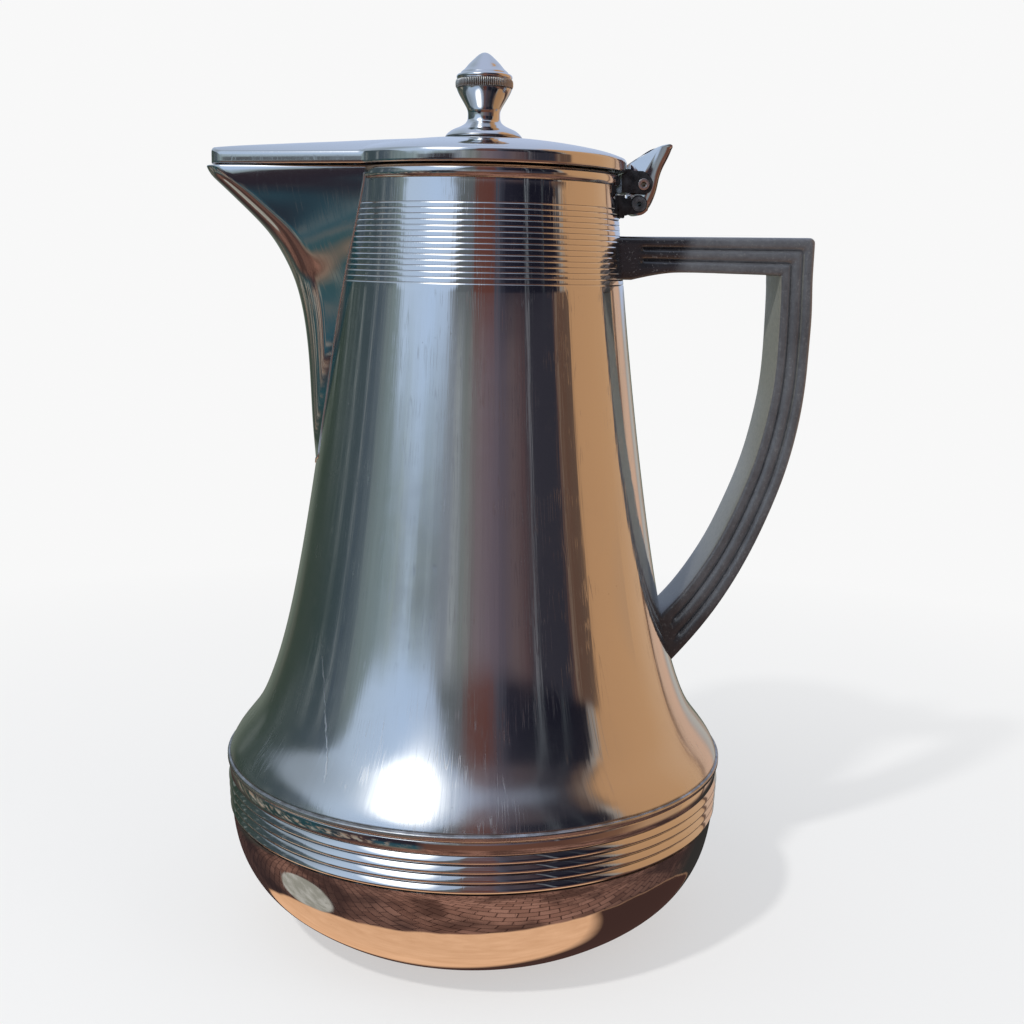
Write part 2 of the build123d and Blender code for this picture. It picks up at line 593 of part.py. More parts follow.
# Cup and cork under the lid, held by the stud, nut and washer.
CUP_TOP = LID_Z0 + 0.35
with BuildPart() as stopper_cup:
    with BuildSketch(Plane.XZ):
        with BuildLine():
            Polyline((STUD_R + 0.1, CUP_TOP), (21.8, CUP_TOP), (22.5, CUP_TOP - 0.7),
                     (22.5, 212.4), (21.8, 212.4), (21.8, CUP_TOP - 0.7),
                     (STUD_R + 0.1, CUP_TOP - 0.7), (STUD_R + 0.1, CUP_TOP))
        make_face()
    revolve(axis=Axis.Z)
stopper_cup.part.label = "stopper_cup"
export_step(stopper_cup.part, "parts/stopper_cup.step")

with BuildPart() as stopper:
    with BuildSketch(Plane.XZ):
        with BuildLine():
            Polyline((STUD_R + 0.05, CUP_TOP - 0.75), (21.7, CUP_TOP - 0.75),
                     (21.7, 210.0), (20.6, 209.0), (15.6, 209.0), (13.2, 207.0),
                     (10.6, 200.2), (9.8, 199.6), (STUD_R + 0.05, 199.6),
                     (STUD_R + 0.05, CUP_TOP - 0.75))
        make_face()
    revolve(axis=Axis.Z)
stopper.part.label = "stopper"
export_step(stopper.part, "parts/stopper.step")

with BuildPart() as stopper_washer:
    with Locations((0, 0, 199.05)):
        Cylinder(7.5, 1.0)
        Cylinder(STUD_R + 0.1, 2, mode=Mode.SUBTRACT)
stopper_washer.part.label = "stopper_washer"
export_step(stopper_washer.part, "parts/stopper_washer.step")

with BuildPart() as stopper_nut:
    with BuildSketch(Plane.XY.offset(196.1)):
        RegularPolygon(3.9, 6)
        Circle(STUD_R + 0.02, mode=Mode.SUBTRACT)
    extrude(amount=2.4)
stopper_nut.part.label = "stopper_nut"
export_step(stopper_nut.part, "parts/stopper_nut.step")

# ---------------------------------------------------------------------- knob
with BuildPart() as knob_stem:
    with BuildSketch(Plane.XZ):
        with BuildLine():
            Polyline((STUD_R + 0.05, 233.36), (11.0, 233.36), (11.02, 233.75), (10.9, 234.0))
            Spline((10.9, 234.0), (10.5, 234.5), (9.85, 235.1), (8.9, 235.7), (7.6, 236.25),
                   (6.3, 236.85), (5.35, 237.5), (4.8, 238.3), (4.62, 239.5), (4.75, 241.1),
                   (5.3, 242.3), (6.2, 243.8), (7.1, 245.3), (7.7, 246.5), (8.0, 247.2))
            Polyline((8.0, 247.2), (STUD_R + 0.05, 247.2), (STUD_R + 0.05, 233.36))
        make_face()
    revolve(axis=Axis.Z)
knob_stem.part.label = "knob_stem"
export_step(knob_stem.part, "parts/knob_stem.step")

KNURLS = 90
with BuildPart() as knob_ring:
    with BuildSketch(Plane.XY.offset(247.25)):
        Circle(8.25)
        Circle(STUD_R + 0.05, mode=Mode.SUBTRACT)
        with PolarLocations(8.36, KNURLS):
            RegularPolygon(0.26, 3, rotation=180, mode=Mode.SUBTRACT)
    extrude(amount=2.35)
knob_ring.part.label = "knob_ring"
export_step(knob_ring.part, "parts/knob_ring.step")

with BuildPart() as knob_cap:
    with BuildSketch(Plane.XZ):
        with BuildLine():
            Polyline((0, 249.65), (7.5, 249.65))
            ThreePointArc((7.5, 249.65), (7.6, 250.35), (6.85, 251.15))
            Line((6.85, 251.15), (6.6, 251.3))
            Spline((6.6, 251.3), (5.85, 252.05), (4.45, 253.55), (2.9, 255.25),
                   (1.8, 256.3), (0, 257.1), tangents=[(-0.6, 0.8), (-1, 0)])
            Line((0, 257.1), (0, 249.65))
        make_face()
    revolve(axis=Axis.Z)
    with Locations((0, 0, 251.4)):
        Cylinder(STUD_R + 0.02, 3.6, mode=Mode.SUBTRACT)
knob_cap.part.label = "knob_cap"
export_step(knob_cap.part, "parts/knob_cap.step")

with BuildPart() as knob_stud:
    with Locations((0, 0, 195.6)):
        Cylinder(STUD_R, 57.4, align=(Align.CENTER, Align.CENTER, Align.MIN))
knob_stud.part.label = "knob_stud"
export_step(knob_stud.part, "parts/knob_stud.step")

# --------------------------------------------------------- lug, lever, rivet
with BuildPart() as lid_volume:
    with BuildSketch(Plane.XY.offset(200)):
        Circle(39.95)
    extrude(amount=LID_Z0 - 0.1 - 200)
    with BuildSketch(Plane.XY.offset(LID_Z0 - 0.1)):
        Circle(LID_R + 0.04)
    extrude(amount=3.2)
with BuildPart() as lid_lug:
    with Locations((41.0, 0, 222.35)):
        Box(2.6, 2 * ARM_Y1, 6.7)
    add(lid_volume.part, mode=Mode.SUBTRACT)
    for side in (-1, 1):
        with BuildSketch(Plane.XZ.offset(-side * ARM_Y0)):
            Polygon((41.0, 219.0), (43.6, 219.0), (45.0, RIVET_Z - 2.6),
                    (47.5, RIVET_Z + 1.6), (46.7, RIVET_Z + 3.0), (45.6, RIVET_Z + 3.7),
                    (43.0, RIVET_Z + 3.7), (41.9, 225.5), (41.9, 224.0), (41.0, 223.6),
                    align=None)
            with Locations((RIVET_X, RIVET_Z)):
                Circle(2.7)
        extrude(amount=-side * (ARM_Y1 - ARM_Y0))
    with Locations(Plane(origin=(RIVET_X, 0, RIVET_Z), z_dir=(0, 1, 0))):
        Cylinder(PIN_R + 0.02, 20, mode=Mode.SUBTRACT)
lid_lug.part.label = "lid_lug"
export_step(lid_lug.part, "parts/lid_lug.step")

LEVER = [(42.4, 227.3), (44.6, 228.8), (47.4, 230.6), (50.3, 232.3), (52.6, 232.8),
         (53.9, 231.9), (53.0, 229.4), (51.7, 226.6), (50.7, 223.6), (50.1, 220.4),
         (49.3, 217.6), (48.2, 215.2), (46.9, 213.6), (45.4, 212.8), (43.9, 212.95),
         (42.6, 213.9), (41.9, 215.4), (41.95, 217.0), (42.6, 218.4), (42.4, 221.0)]
LEVER_W0, LEVER_SPLAY = 4.0, 0.32     # half width at x = 44, and how fast it grows


def lever_plan(inset):
    """The lever seen from above: two cheeks that open towards the strap."""
    w = lambda x: LEVER_W0 + LEVER_SPLAY * (x - 44) - inset
    return [(36, -w(36)), (60, -w(60)), (60, w(60)), (36, w(36))]


# The round bends between cheeks and strap, as level sections that follow the strap.
LEVER_BEND = 1.8
with BuildPart() as lever_bends:
    for z, x in ((205.0, 49.4), (217.6, 49.4), (220.4, 50.2), (223.6, 50.8), (226.6, 51.8),
                 (229.4, 53.1), (231.9, 54.0), (236.0, 55.3)):
        w0 = LEVER_W0 + LEVER_SPLAY * (36 - 44)
        w1 = LEVER_W0 + LEVER_SPLAY * (x - 44)
        with BuildSketch(Plane.XY.offset(z)) as level:
            Polygon((36, -w0), (x, -w1), (x, w1), (36, w0), align=None)
            fillet(level.vertices().sort_by(Axis.X)[-2:], LEVER_BEND)
    loft(ruled=True)
with BuildPart() as lever_inside:
    with BuildSketch(Plane.XZ.offset(-10)):
        Polygon((38, 236), (53.2, 236), (52.6, 232.0), (52.1, 229.6), (50.8, 226.8),
                (49.8, 223.8), (49.2, 220.6), (48.4, 218.0), (47.4, 215.9), (47.0, 215.9),
                (47.0, 218.6), (41.0, 218.6), (38, 218.6), align=None)
    extrude(amount=20)
    with BuildSketch(Plane.XY.offset(205)):
        Polygon(*lever_plan(0.95), align=None)
    extrude(amount=40, mode=Mode.INTERSECT)
with BuildPart() as thumb_lever:
    with BuildSketch(Plane.XZ.offset(-10)):
        with BuildLine():
            Polyline(LEVER[18], LEVER[19], *LEVER[:6])
            Spline(*LEVER[5:19])
        make_face()
    extrude(amount=20)
    add(lever_bends.part, mode=Mode.INTERSECT)
    add(lever_inside.part, mode=Mode.SUBTRACT)
    with Locations(Plane(origin=(PIN_X, 0, PIN_Z), z_dir=(0, 1, 0))):
        Cylinder(PIN_R + PIN_PLAY, 20, mode=Mode.SUBTRACT)
    with Locations(Plane(origin=(RIVET_X, 0, RIVET_Z), z_dir=(0, 1, 0))):
        Cylinder(PIN_R + 0.02, 20, mode=Mode.SUBTRACT)
thumb_lever.part.label = "thumb_lever"
export_step(thumb_lever.part, "parts/thumb_lever.step")

with BuildPart() as lever_rivet:
    with Locations(Plane(origin=(RIVET_X, 0, RIVET_Z), z_dir=(0, 1, 0))):
        Cylinder(PIN_R, 2 * ARM_Y1 + 0.2)
        with Locations((0, 0, ARM_Y1 + 0.3), (0, 0, -ARM_Y1 - 0.3)):
            Cylinder(1.65, 0.5)
        Cylinder(0.75, 20, mode=Mode.SUBTRACT)
lever_rivet.part.label = "lever_rivet"
export_step(lever_rivet.part, "parts/lever_rivet.step")
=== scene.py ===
import math

import bmesh
import bpy
import numpy as np
from mathutils import Matrix, Vector


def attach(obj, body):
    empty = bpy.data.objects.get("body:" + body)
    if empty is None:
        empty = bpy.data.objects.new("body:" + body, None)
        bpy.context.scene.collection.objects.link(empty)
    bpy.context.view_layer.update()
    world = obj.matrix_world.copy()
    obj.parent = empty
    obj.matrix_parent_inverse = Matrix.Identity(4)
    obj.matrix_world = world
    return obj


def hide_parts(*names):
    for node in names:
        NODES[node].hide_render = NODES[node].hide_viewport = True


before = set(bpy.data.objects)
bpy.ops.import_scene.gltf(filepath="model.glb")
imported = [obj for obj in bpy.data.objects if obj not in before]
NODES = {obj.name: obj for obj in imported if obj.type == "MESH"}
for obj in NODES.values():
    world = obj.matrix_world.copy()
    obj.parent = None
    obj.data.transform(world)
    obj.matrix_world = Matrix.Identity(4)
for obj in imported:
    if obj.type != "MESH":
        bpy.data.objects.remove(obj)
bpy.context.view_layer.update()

MM = 0.001

# --------------------------------------------------------------------------
# Numbers of the object, in millimetres. They repeat the frame's own sizes.
# --------------------------------------------------------------------------
SHEET = 0.9
SEAT_Z = 223.9
LID_Z0 = 224.3
LID_R = 41.2
SKIRT_TOP = 227.2
BEAK_APEX_X = -84.2
BEAK_SLOPE = 0.4636
BEAK_TIP_R = 5.3
PIN_X, PIN_Z = 44.6, 215.9
RIVET_X, RIVET_Z = 45.8, 221.5
GROOVES, GROOVE_Z0, GROOVE_PITCH = 15, 192.9, 1.507
HANDLE_HALF = 8.4

SHELL = [(74.203, 53.6), (73.727, 54.8), (73.129, 56.0), (72.219, 57.5), (71.159, 59.0),
         (69.997, 60.5), (68.797, 62.0), (67.258, 64.0), (65.901, 66.0), (64.503, 68.5),
         (63.138, 71.5), (61.768, 75.0), (60.378, 79.0), (58.848, 84.0), (57.25, 90.0),
         (55.626, 97.0), (53.989, 105.0), (52.329, 114.0), (50.636, 124.0),
         (49.056, 134.0), (47.569, 144.0), (46.164, 154.0), (44.835, 164.0),
         (43.58, 174.0), (42.395, 184.0), (41.455, 192.4), (40.338, 203.0),
         (39.187, 214.8), (38.711, 220.0)]
CUP = [(39.5, 0.0), (44.8, 0.8), (50.2, 2.7), (56.0, 6.2), (61.5, 10.4), (66.0, 14.9),
       (69.4, 20.0), (71.8, 25.6), (73.1, 31.0), (73.7, 36.5)]


# --------------------------------------------------------------------------
# Geometry helpers
# --------------------------------------------------------------------------
def cubic(points, n, t0=None, t1=None):
    """n points on a cubic spline through the given ones, with optional end directions."""
    p = np.array(points, float)
    d = np.concatenate([[0.0], np.cumsum(np.linalg.norm(np.diff(p, axis=0), axis=1))])
    h = np.diff(d)
    m = len(d)
    a = np.zeros((m, m))
    b = np.zeros_like(p)
    for i in range(1, m - 1):
        a[i, i - 1], a[i, i], a[i, i + 1] = h[i - 1], 2 * (h[i - 1] + h[i]), h[i]
        b[i] = 6 * ((p[i + 1] - p[i]) / h[i] - (p[i] - p[i - 1]) / h[i - 1])
    a[0, 0] = a[-1, -1] = 1.0
    if t0 is not None:
        t0 = np.array(t0, float) / np.linalg.norm(t0)
        a[0, 0], a[0, 1] = 2 * h[0], h[0]
        b[0] = 6 * ((p[1] - p[0]) / h[0] - t0)
    if t1 is not None:
        t1 = np.array(t1, float) / np.linalg.norm(t1)
        a[-1, -1], a[-1, -2] = 2 * h[-1], h[-1]
        b[-1] = 6 * (t1 - (p[-1] - p[-2]) / h[-1])
    s = np.linalg.solve(a, b)
    out = []
    for t in np.linspace(0, d[-1], n):
        i = min(max(int(np.searchsorted(d, t) - 1), 0), m - 2)
        u, v = d[i + 1] - t, t - d[i]
        hi = h[i]
        q = (s[i] * u ** 3 + s[i + 1] * v ** 3) / (6 * hi) + (p[i] / hi - s[i] * hi / 6) * u \
            + (p[i + 1] / hi - s[i + 1] * hi / 6) * v
        out.append(tuple(q))
    return out


def arc(c, r, a0, a1, n=6):
    """Points on an arc about c from a0 to a1 degrees."""
    return [(c[0] + r * math.cos(math.radians(a)), c[1] + r * math.sin(math.radians(a)))
            for a in np.linspace(a0, a1, n)]


def rounded(points, radius, n=4, closed=True):
    """The same outline with every corner turned into a short arc."""
    out = []
    m = len(points)
    for i, p in enumerate(points):
        r = radius[i] if isinstance(radius, (list, tuple)) else radius
        if r <= 0 or (not closed and i in (0, m - 1)):
            out.append(tuple(p))
            continue
        a, b = Vector(points[i - 1]) - Vector(p), Vector(points[(i + 1) % m]) - Vector(p)
        la, lb = a.length, b.length
        a.normalize(), b.normalize()
        ang = math.acos(max(-1, min(1, a.dot(b))))
        if ang > math.radians(172) or ang < 1e-3:
            out.append(tuple(p))
            continue
        cut = min(r / math.tan(ang / 2), la * 0.45, lb * 0.45)
        rr = cut * math.tan(ang / 2)
        mid = (a + b).normalized()
        c = Vector(p) + mid * (rr / math.sin(ang / 2))
        s, e = Vector(p) + a * cut - c, Vector(p) + b * cut - c
        a0, a1 = math.atan2(s.y, s.x), math.atan2(e.y, e.x)
        da = (a1 - a0 + math.pi) % (2 * math.pi) - math.pi
        for k in range(n + 1):
            t = a0 + da * k / n
            out.append((c.x + rr * math.cos(t), c.y + rr * math.sin(t)))
    return out


def smooth(obj, angle=32.0):
    me = obj.data
    me.polygons.foreach_set("use_smooth", [True] * len(me.polygons))
    if angle:
        me.set_sharp_from_angle(angle=math.radians(angle))
    me.update()


def place(name, verts, faces, body, mat, angle=32.0, stands_for=(), scale=MM,
          weld=1e-7):
    me = bpy.data.meshes.new(name)
    me.from_pydata([tuple(c * scale for c in v) for v in verts], [], faces)
    bm = bmesh.new()
    bm.from_mesh(me)
    if weld:
        bmesh.ops.remove_doubles(bm, verts=bm.verts, dist=weld)
    bmesh.ops.dissolve_degenerate(bm, edges=bm.edges, dist=1e-8)
    bmesh.ops.recalc_face_normals(bm, faces=bm.faces)
    bm.to_mesh(me)
    bm.free()
    obj = bpy.data.objects.new(name, me)
    bpy.context.scene.collection.objects.link(obj)
    if mat:
        me.materials.append(mat)
    smooth(obj, angle)
    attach(obj, body)
    if stands_for:
        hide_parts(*stands_for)
    return obj


def lathe_data(loop, seg, closed):
    """Vertices and faces of a profile of (r, z) turned about Z."""
    verts, rows, faces = [], [], []
    for r, z in loop:
        if r < 1e-4:
            rows.append([len(verts)])
            verts.append((0.0, 0.0, z))
        else:
            start = len(verts)
            rows.append(list(range(start, start + seg)))
            for k in range(seg):
                t = 2 * math.pi * k / seg
                verts.append((r * math.cos(t), r * math.sin(t), z))
    m = len(rows)
    for i in range(m if closed else m - 1):
        a, b = rows[i], rows[(i + 1) % m]
        if len(a) == 1 and len(b) == 1:
            continue
        for k in range(seg):
            j = (k + 1) % seg
            if len(a) == 1:
                faces.append((a[0], b[j], b[k]))
            elif len(b) == 1:
                faces.append((a[k], a[j], b[0]))
            else:
                faces.append((a[k], a[j], b[j], b[k]))
    return verts, faces


def lathe(name, loop, body, mat, seg=192, closed=True, angle=32.0, stands_for=(),
          origin=None):
    """A turned piece. origin = (x, y, z) and its axis along Y, when given."""
    verts, faces = lathe_data(loop, seg, closed)
    if origin is not None:
        ox, oy, oz = origin
        verts = [(x + ox, z + oy, y + oz) for x, y, z in verts]
    return place(name, verts, faces, body, mat, angle, stands_for)


def prism(name, outline, y0, y1):
    """A bare solid of an XZ outline between two planes across Y, not yet placed."""
    n = len(outline)
    verts = [(x, y0, z) for x, z in outline] + [(x, y1, z) for x, z in outline]
    faces = [tuple(range(n)), tuple(range(2 * n - 1, n - 1, -1))]
    faces += [(i, i + n, (i + 1) % n + n, (i + 1) % n) for i in range(n)]
    me = bpy.data.meshes.new(name)
    me.from_pydata([tuple(c * MM for c in v) for v in verts], [], faces)
    bm = bmesh.new()
    bm.from_mesh(me)
    bmesh.ops.recalc_face_normals(bm, faces=bm.faces)
    bm.to_mesh(me)
    bm.free()
    obj = bpy.data.objects.new(name, me)
    bpy.context.scene.collection.objects.link(obj)
    return obj


def rod(name, x, z, r, y0, y1, seg=64):
    return prism(name, arc((x, z), r, 0, 360 * (1 - 1 / seg), seg), y0, y1)


def boolean(obj, *others, how="DIFFERENCE"):
    for other in others:
        mod = obj.modifiers.new("cut", "BOOLEAN")
        mod.operation, mod.object, mod.solver = how, other, "EXACT"
        dg = bpy.context.evaluated_depsgraph_get()
        me = bpy.data.meshes.new_from_object(obj.evaluated_get(dg))
        obj.modifiers.clear()
        old = obj.data
        obj.data = me
        bpy.data.meshes.remove(old)
        data = other.data
        bpy.data.objects.remove(other)
        bpy.data.meshes.remove(data)
    return obj


def finish_piece(obj, body, mat, stands_for=(), bevel=0.12, segments=2, angle=32.0):
    """Soft edges, smooth shading, material and body for a piece made of solids."""
    if bevel:
        mod = obj.modifiers.new("edges", "BEVEL")
        mod.width, mod.segments, mod.limit_method = bevel * MM, segments, "ANGLE"
        mod.angle_limit = math.radians(30)
        mod.use_clamp_overlap = True
        dg = bpy.context.evaluated_depsgraph_get()
        me = bpy.data.meshes.new_from_object(obj.evaluated_get(dg))
        obj.modifiers.clear()
        old = obj.data
        obj.data = me
        bpy.data.meshes.remove(old)
    obj.data.materials.clear()
    obj.data.materials.append(mat)
    smooth(obj, angle)
    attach(obj, body)
    if stands_for:
        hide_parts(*stands_for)
    return obj


SHELL_LINE = cubic(SHELL, 400)
_sr = np.array([p[0] for p in SHELL_LINE])
_sz = np.array([p[1] for p in SHELL_LINE])


def shell_r(z):
    return float(np.interp(z, _sz, _sr))


# --------------------------------------------------------------------------
# Materials. Patterns come from the object's own coordinates, in metres.
# --------------------------------------------------------------------------
class Nodes:
    """Short hand for building a node tree."""

    def __init__(self, name):
        self.mat = bpy.data.materials.new(name)
        self.mat.use_nodes = True
        self.t = self.mat.node_tree
        self.t.nodes.clear()
        self.out = self.t.nodes.new("ShaderNodeOutputMaterial")
        self.bsdf = self.t.nodes.new("ShaderNodeBsdfPrincipled")
        self.t.links.new(self.bsdf.outputs[0], self.out.inputs[0])
        self.co = self.t.nodes.new("ShaderNodeTexCoord").outputs["Object"]

    def link(self, a, b):
        self.t.links.new(a, b)

    def set(self, **kw):
        for k, v in kw.items():
            key = k.replace("_", " ")
            sock = self.bsdf.inputs[key]
            if hasattr(v, "is_linked") or isinstance(v, bpy.types.NodeSocket):
                self.link(v, sock)
            else:
                sock.default_value = v

    def scaled(self, scale, rot=(0, 0, 0), loc=(0, 0, 0), co=None):
        m = self.t.nodes.new("ShaderNodeMapping")
        m.inputs["Scale"].default_value = scale
        m.inputs["Rotation"].default_value = [math.radians(a) for a in rot]
        m.inputs["Location"].default_value = loc
        self.link(co or self.co, m.inputs["Vector"])
        return m.outputs[0]

    def noise(self, scale, detail=3.0, rough=0.55, co=None, dist=0.0):
        n = self.t.nodes.new("ShaderNodeTexNoise")
        n.inputs["Scale"].default_value = scale
        n.inputs["Detail"].default_value = detail
        n.inputs["Roughness"].default_value = rough
        n.inputs["Distortion"].default_value = dist
        self.link(co or self.co, n.inputs["Vector"])
        return n.outputs["Fac"]

    def voronoi(self, scale, feature="F1", co=None, rand=1.0):
        n = self.t.nodes.new("ShaderNodeTexVoronoi")
        n.feature = feature
        n.inputs["Scale"].default_value = scale
        n.inputs["Randomness"].default_value = rand
        self.link(co or self.co, n.inputs["Vector"])
        return n.outputs["Distance"]

    def ramp(self, fac, stops, mode="LINEAR"):
        r = self.t.nodes.new("ShaderNodeValToRGB")
        r.color_ramp.interpolation = mode
        el = r.color_ramp.elements
        while len(el) < len(stops):
            el.new(0.5)
        for e, (p, c) in zip(el, stops):
            e.position = p
            e.color = c if len(c) == 4 else (*c, 1.0)
        self.link(fac, r.inputs[0])
        return r.outputs[0]

    def grey(self, fac, a, b, lo=0.0, hi=1.0):
        """Maps fac from a..b to lo..hi, clamped."""
        m = self.t.nodes.new("ShaderNodeMapRange")
        m.clamp = True
        for k, v in zip(("From Min", "From Max", "To Min", "To Max"), (a, b, lo, hi)):
            m.inputs[k].default_value = v
        self.link(fac, m.inputs["Value"])
        return m.outputs[0]

    def math(self, op, a, b=None, c=None, clamp=False):
        m = self.t.nodes.new("ShaderNodeMath")
        m.operation = op
        m.use_clamp = clamp
        for s, v in zip(m.inputs, (a, b, c)):
            if v is None:
                continue
            if isinstance(v, (int, float)):
                s.default_value = v
            else:
                self.link(v, s)
        return m.outputs[0]

    def mix(self, fac, a, b):
        m = self.t.nodes.new("ShaderNodeMix")
        m.data_type = "RGBA"
        for s, v in ((m.inputs[0], fac), (m.inputs[6], a), (m.inputs[7], b)):
            if isinstance(v, (int, float)):
                s.default_value = v
            elif isinstance(v, (tuple, list)):
                s.default_value = v if len(v) == 4 else (*v, 1.0)
            else:
                self.link(v, s)
        return m.outputs[2]

    def bump(self, height, distance, strength=1.0, normal=None):
        b = self.t.nodes.new("ShaderNodeBump")
        b.inputs["Strength"].default_value = strength
        b.inputs["Distance"].default_value = distance
        self.link(height, b.inputs["Height"])
        if normal is not None:
            self.link(normal, b.inputs["Normal"])
        return b.outputs[0]

    def polar(self):
        """(angle * 40 mm, 0, z) of a turned piece, so a pattern runs round it."""
        sx = self.t.nodes.new("ShaderNodeSeparateXYZ")
        self.link(self.co, sx.inputs[0])
        ang = self.math("ARCTAN2", sx.outputs[1], sx.outputs[0])
        cx = self.t.nodes.new("ShaderNodeCombineXYZ")
        self.link(self.math("MULTIPLY", ang, 0.05), cx.inputs[0])
        self.link(sx.outputs[2], cx.inputs[2])
        return cx.outputs[0], sx.outputs[2], ang

    def radial(self):
        """Distance from the axis, and angle."""
        sx = self.t.nodes.new("ShaderNodeSeparateXYZ")
        self.link(self.co, sx.inputs[0])
        rr = self.math("SQRT", self.math("ADD", self.math("MULTIPLY", sx.outputs[0], sx.outputs[0]),
                                         self.math("MULTIPLY", sx.outputs[1], sx.outputs[1])))
        return rr, sx


def scratches(n, co, across, along, rot, width=0.02, keep=0.6, seed=0.0):
    """Fine long scratches: thin level lines of a stretched noise, broken up by a mask."""
    m = n.scaled((across, across, along), rot, (seed, seed, seed), co)
    f = n.noise(1.0, 0.0, 0.4, m)
    line = n.math("ABSOLUTE", n.math("SUBTRACT", f, 0.5))
    thin = n.grey(line, 0.0, width, 1.0, 0.0)
    mask = n.grey(n.noise(75.0, 2.0, 0.6, n.scaled((1, 1, 1), (0, 0, 0), (seed, 0, seed), co)),
                  keep, keep + 0.08)
    return n.math("MULTIPLY", thin, mask)


def chrome(name, rough=(0.07, 0.16), base=(0.80, 0.80, 0.805), haze=1.0, streak=0.0,
           fine=1.0, wave=1.0, grime_and_shade=None, round_lines=0.0, side=0.0, foot=0.0, teeth=0,
           long_mark=False, back=0.0):
    """Old bright plating. streak adds upright draw marks, round_lines turned hair lines,
    side more wear towards the spout than towards the handle, foot a hazier flare at the
    bottom and a brighter top, teeth painted shade in the gaps between that many knurls,
    long_mark one long fine scratch down the flare, back painted shade, near black, on the
    faces turned away from the spout."""
    n = Nodes(name)
    pol, z, ang = n.polar()
    patch = n.noise(26.0, 4.0, 0.6)
    small = n.noise(160.0, 3.0, 0.6)
    mix = n.math("ADD", n.math("MULTIPLY", patch, 0.7), n.math("MULTIPLY", small, 0.3))
    r = n.grey(mix, 0.38, 0.66, rough[0], rough[1])
    if side:
        # less worn on the handle's side
        sx = n.t.nodes.new("ShaderNodeSeparateXYZ")
        n.link(n.co, sx.inputs[0])
        r = n.math("MULTIPLY", r, n.grey(sx.outputs[0], -0.002, 0.024, 1.0, 1.0 - side))
    if foot:
        r = n.math("MULTIPLY", r, n.grey(z, 0.150, 0.205, 1.0, 0.55))
        r = n.math("ADD", r, n.grey(z, 0.090, 0.062, 0.0, foot))
    cross = scratches(n, pol, 900.0, 30.0, (0, 38, 0), 0.030, 0.52, 3.1)
    cross2 = scratches(n, pol, 820.0, 36.0, (0, -52, 0), 0.026, 0.54, 7.7)
    cross3 = scratches(n, pol, 960.0, 34.0, (0, 80, 0), 0.026, 0.56, 5.3)
    marks = n.math("MAXIMUM", n.math("MAXIMUM", cross, cross2), cross3)
    if long_mark:
        # ang in radians runs from -2.49 at z = 90 mm to -2.29 at z = 65 mm
        wob = n.math("MULTIPLY", n.math("SUBTRACT", n.noise(210.0, 3.0, 0.6), 0.5), 0.035)
        at_z = n.math("SUBTRACT", -2.492, n.math("MULTIPLY", n.math("SUBTRACT", z, 0.0904), 8.03))
        off = n.math("ABSOLUTE", n.math("SUBTRACT", n.math("ADD", ang, wob), at_z))
        lm = n.math("MULTIPLY", n.grey(off, 0.0022, 0.0046, 1.0, 0.0),
                    n.math("MULTIPLY", n.grey(z, 0.060, 0.063), n.grey(z, 0.097, 0.090)))
        lm = n.math("MULTIPLY", lm, n.grey(n.noise(340.0, 2.0), 0.35, 0.5, 0.9, 2.4))
        marks = n.math("MAXIMUM", marks, lm)
    r = n.math("ADD", r, n.math("MULTIPLY", marks, 0.15 * haze))
    n.set(Metallic=1.0, Roughness=r)
    tone = n.ramp(n.noise(11.0, 3.0, 0.5), [(0.3, tuple(c * 0.94 for c in base)),
                                           (0.7, base)])
    pits = n.grey(n.voronoi(420.0), 0.035, 0.07, 1.0, 0.0)
    pits = n.math("MULTIPLY", pits, n.grey(n.noise(60.0, 2.0), 0.6, 0.66))
    tone = n.mix(n.math("MULTIPLY", pits, 0.6), tone, (0.18, 0.14, 0.10))
    # painted shade: faces turned away from the spout, towards the handle, are made near black
    if back:
        away = n.t.nodes.new("ShaderNodeSeparateXYZ")
        where = n.t.nodes.new("ShaderNodeTexCoord")
        n.link(where.outputs["Normal"], away.inputs[0])
        tone = n.mix(n.grey(away.outputs[0], 0.42, 0.62, 0.0, back), tone, (0.035, 0.036, 0.042))
    # painted shade in the gaps between the knurls
    if teeth:
        knurl_gap_shade = n.math("SUBTRACT", 0.5, n.math("MULTIPLY", n.math("COSINE", n.math(
            "MULTIPLY", ang, float(teeth))), 0.5))
        tone = n.mix(n.math("MULTIPLY", n.math("POWER", knurl_gap_shade, 1.5), 0.85), tone,
                     (0.07, 0.06, 0.05))
    if grime_and_shade:
        # darker deposits and painted shade in the creases, where the height lies within the given bands (z0,
        # z1, soft), in mm
        total = None
        for z0, z1, soft in grime_and_shade:
            mid, half = (z0 + z1) / 2 * MM, (z1 - z0) / 2 * MM
            d = n.math("ABSOLUTE", n.math("SUBTRACT", z, mid))
            g = n.grey(d, half, half + soft * MM, 1.0, 0.0)
            total = g if total is None else n.math("MAXIMUM", total, g)
        total = n.math("MULTIPLY", total, n.grey(n.noise(220.0, 3.0), 0.25, 0.6, 0.35, 1.0))
        tone = n.mix(n.math("MULTIPLY", total, 0.75), tone, (0.10, 0.085, 0.07))
        n.set(Roughness=n.math("ADD", r, n.math("MULTIPLY", total, 0.22)))
    n.set(Base_Color=tone)
    big = n.noise(9.0, 2.0, 0.4)
    nrm = n.bump(big, 0.0006 * wave, 1.0)
    dent = n.noise(34.0, 2.0, 0.5)
    nrm = n.bump(dent, 0.00009 * wave, 1.0, nrm)
    if streak:
        up = n.noise(1.0, 3.0, 0.6, n.scaled((420, 420, 14), (0, 0, 0), (0, 0, 0), pol))
        nrm = n.bump(up, 0.00003 * streak, 1.0, nrm)
    if round_lines:
        rl = n.noise(1.0, 3.0, 0.6, n.scaled((14, 14, 1900), (0, 0, 0), (0, 0, 0), pol))
        nrm = n.bump(rl, 0.000008 * round_lines, 1.0, nrm)
    nrm = n.bump(n.math("SUBTRACT", 1.0, marks), 0.000005 * fine, 1.0, nrm)
    n.set(Normal=nrm)
    return n.mat


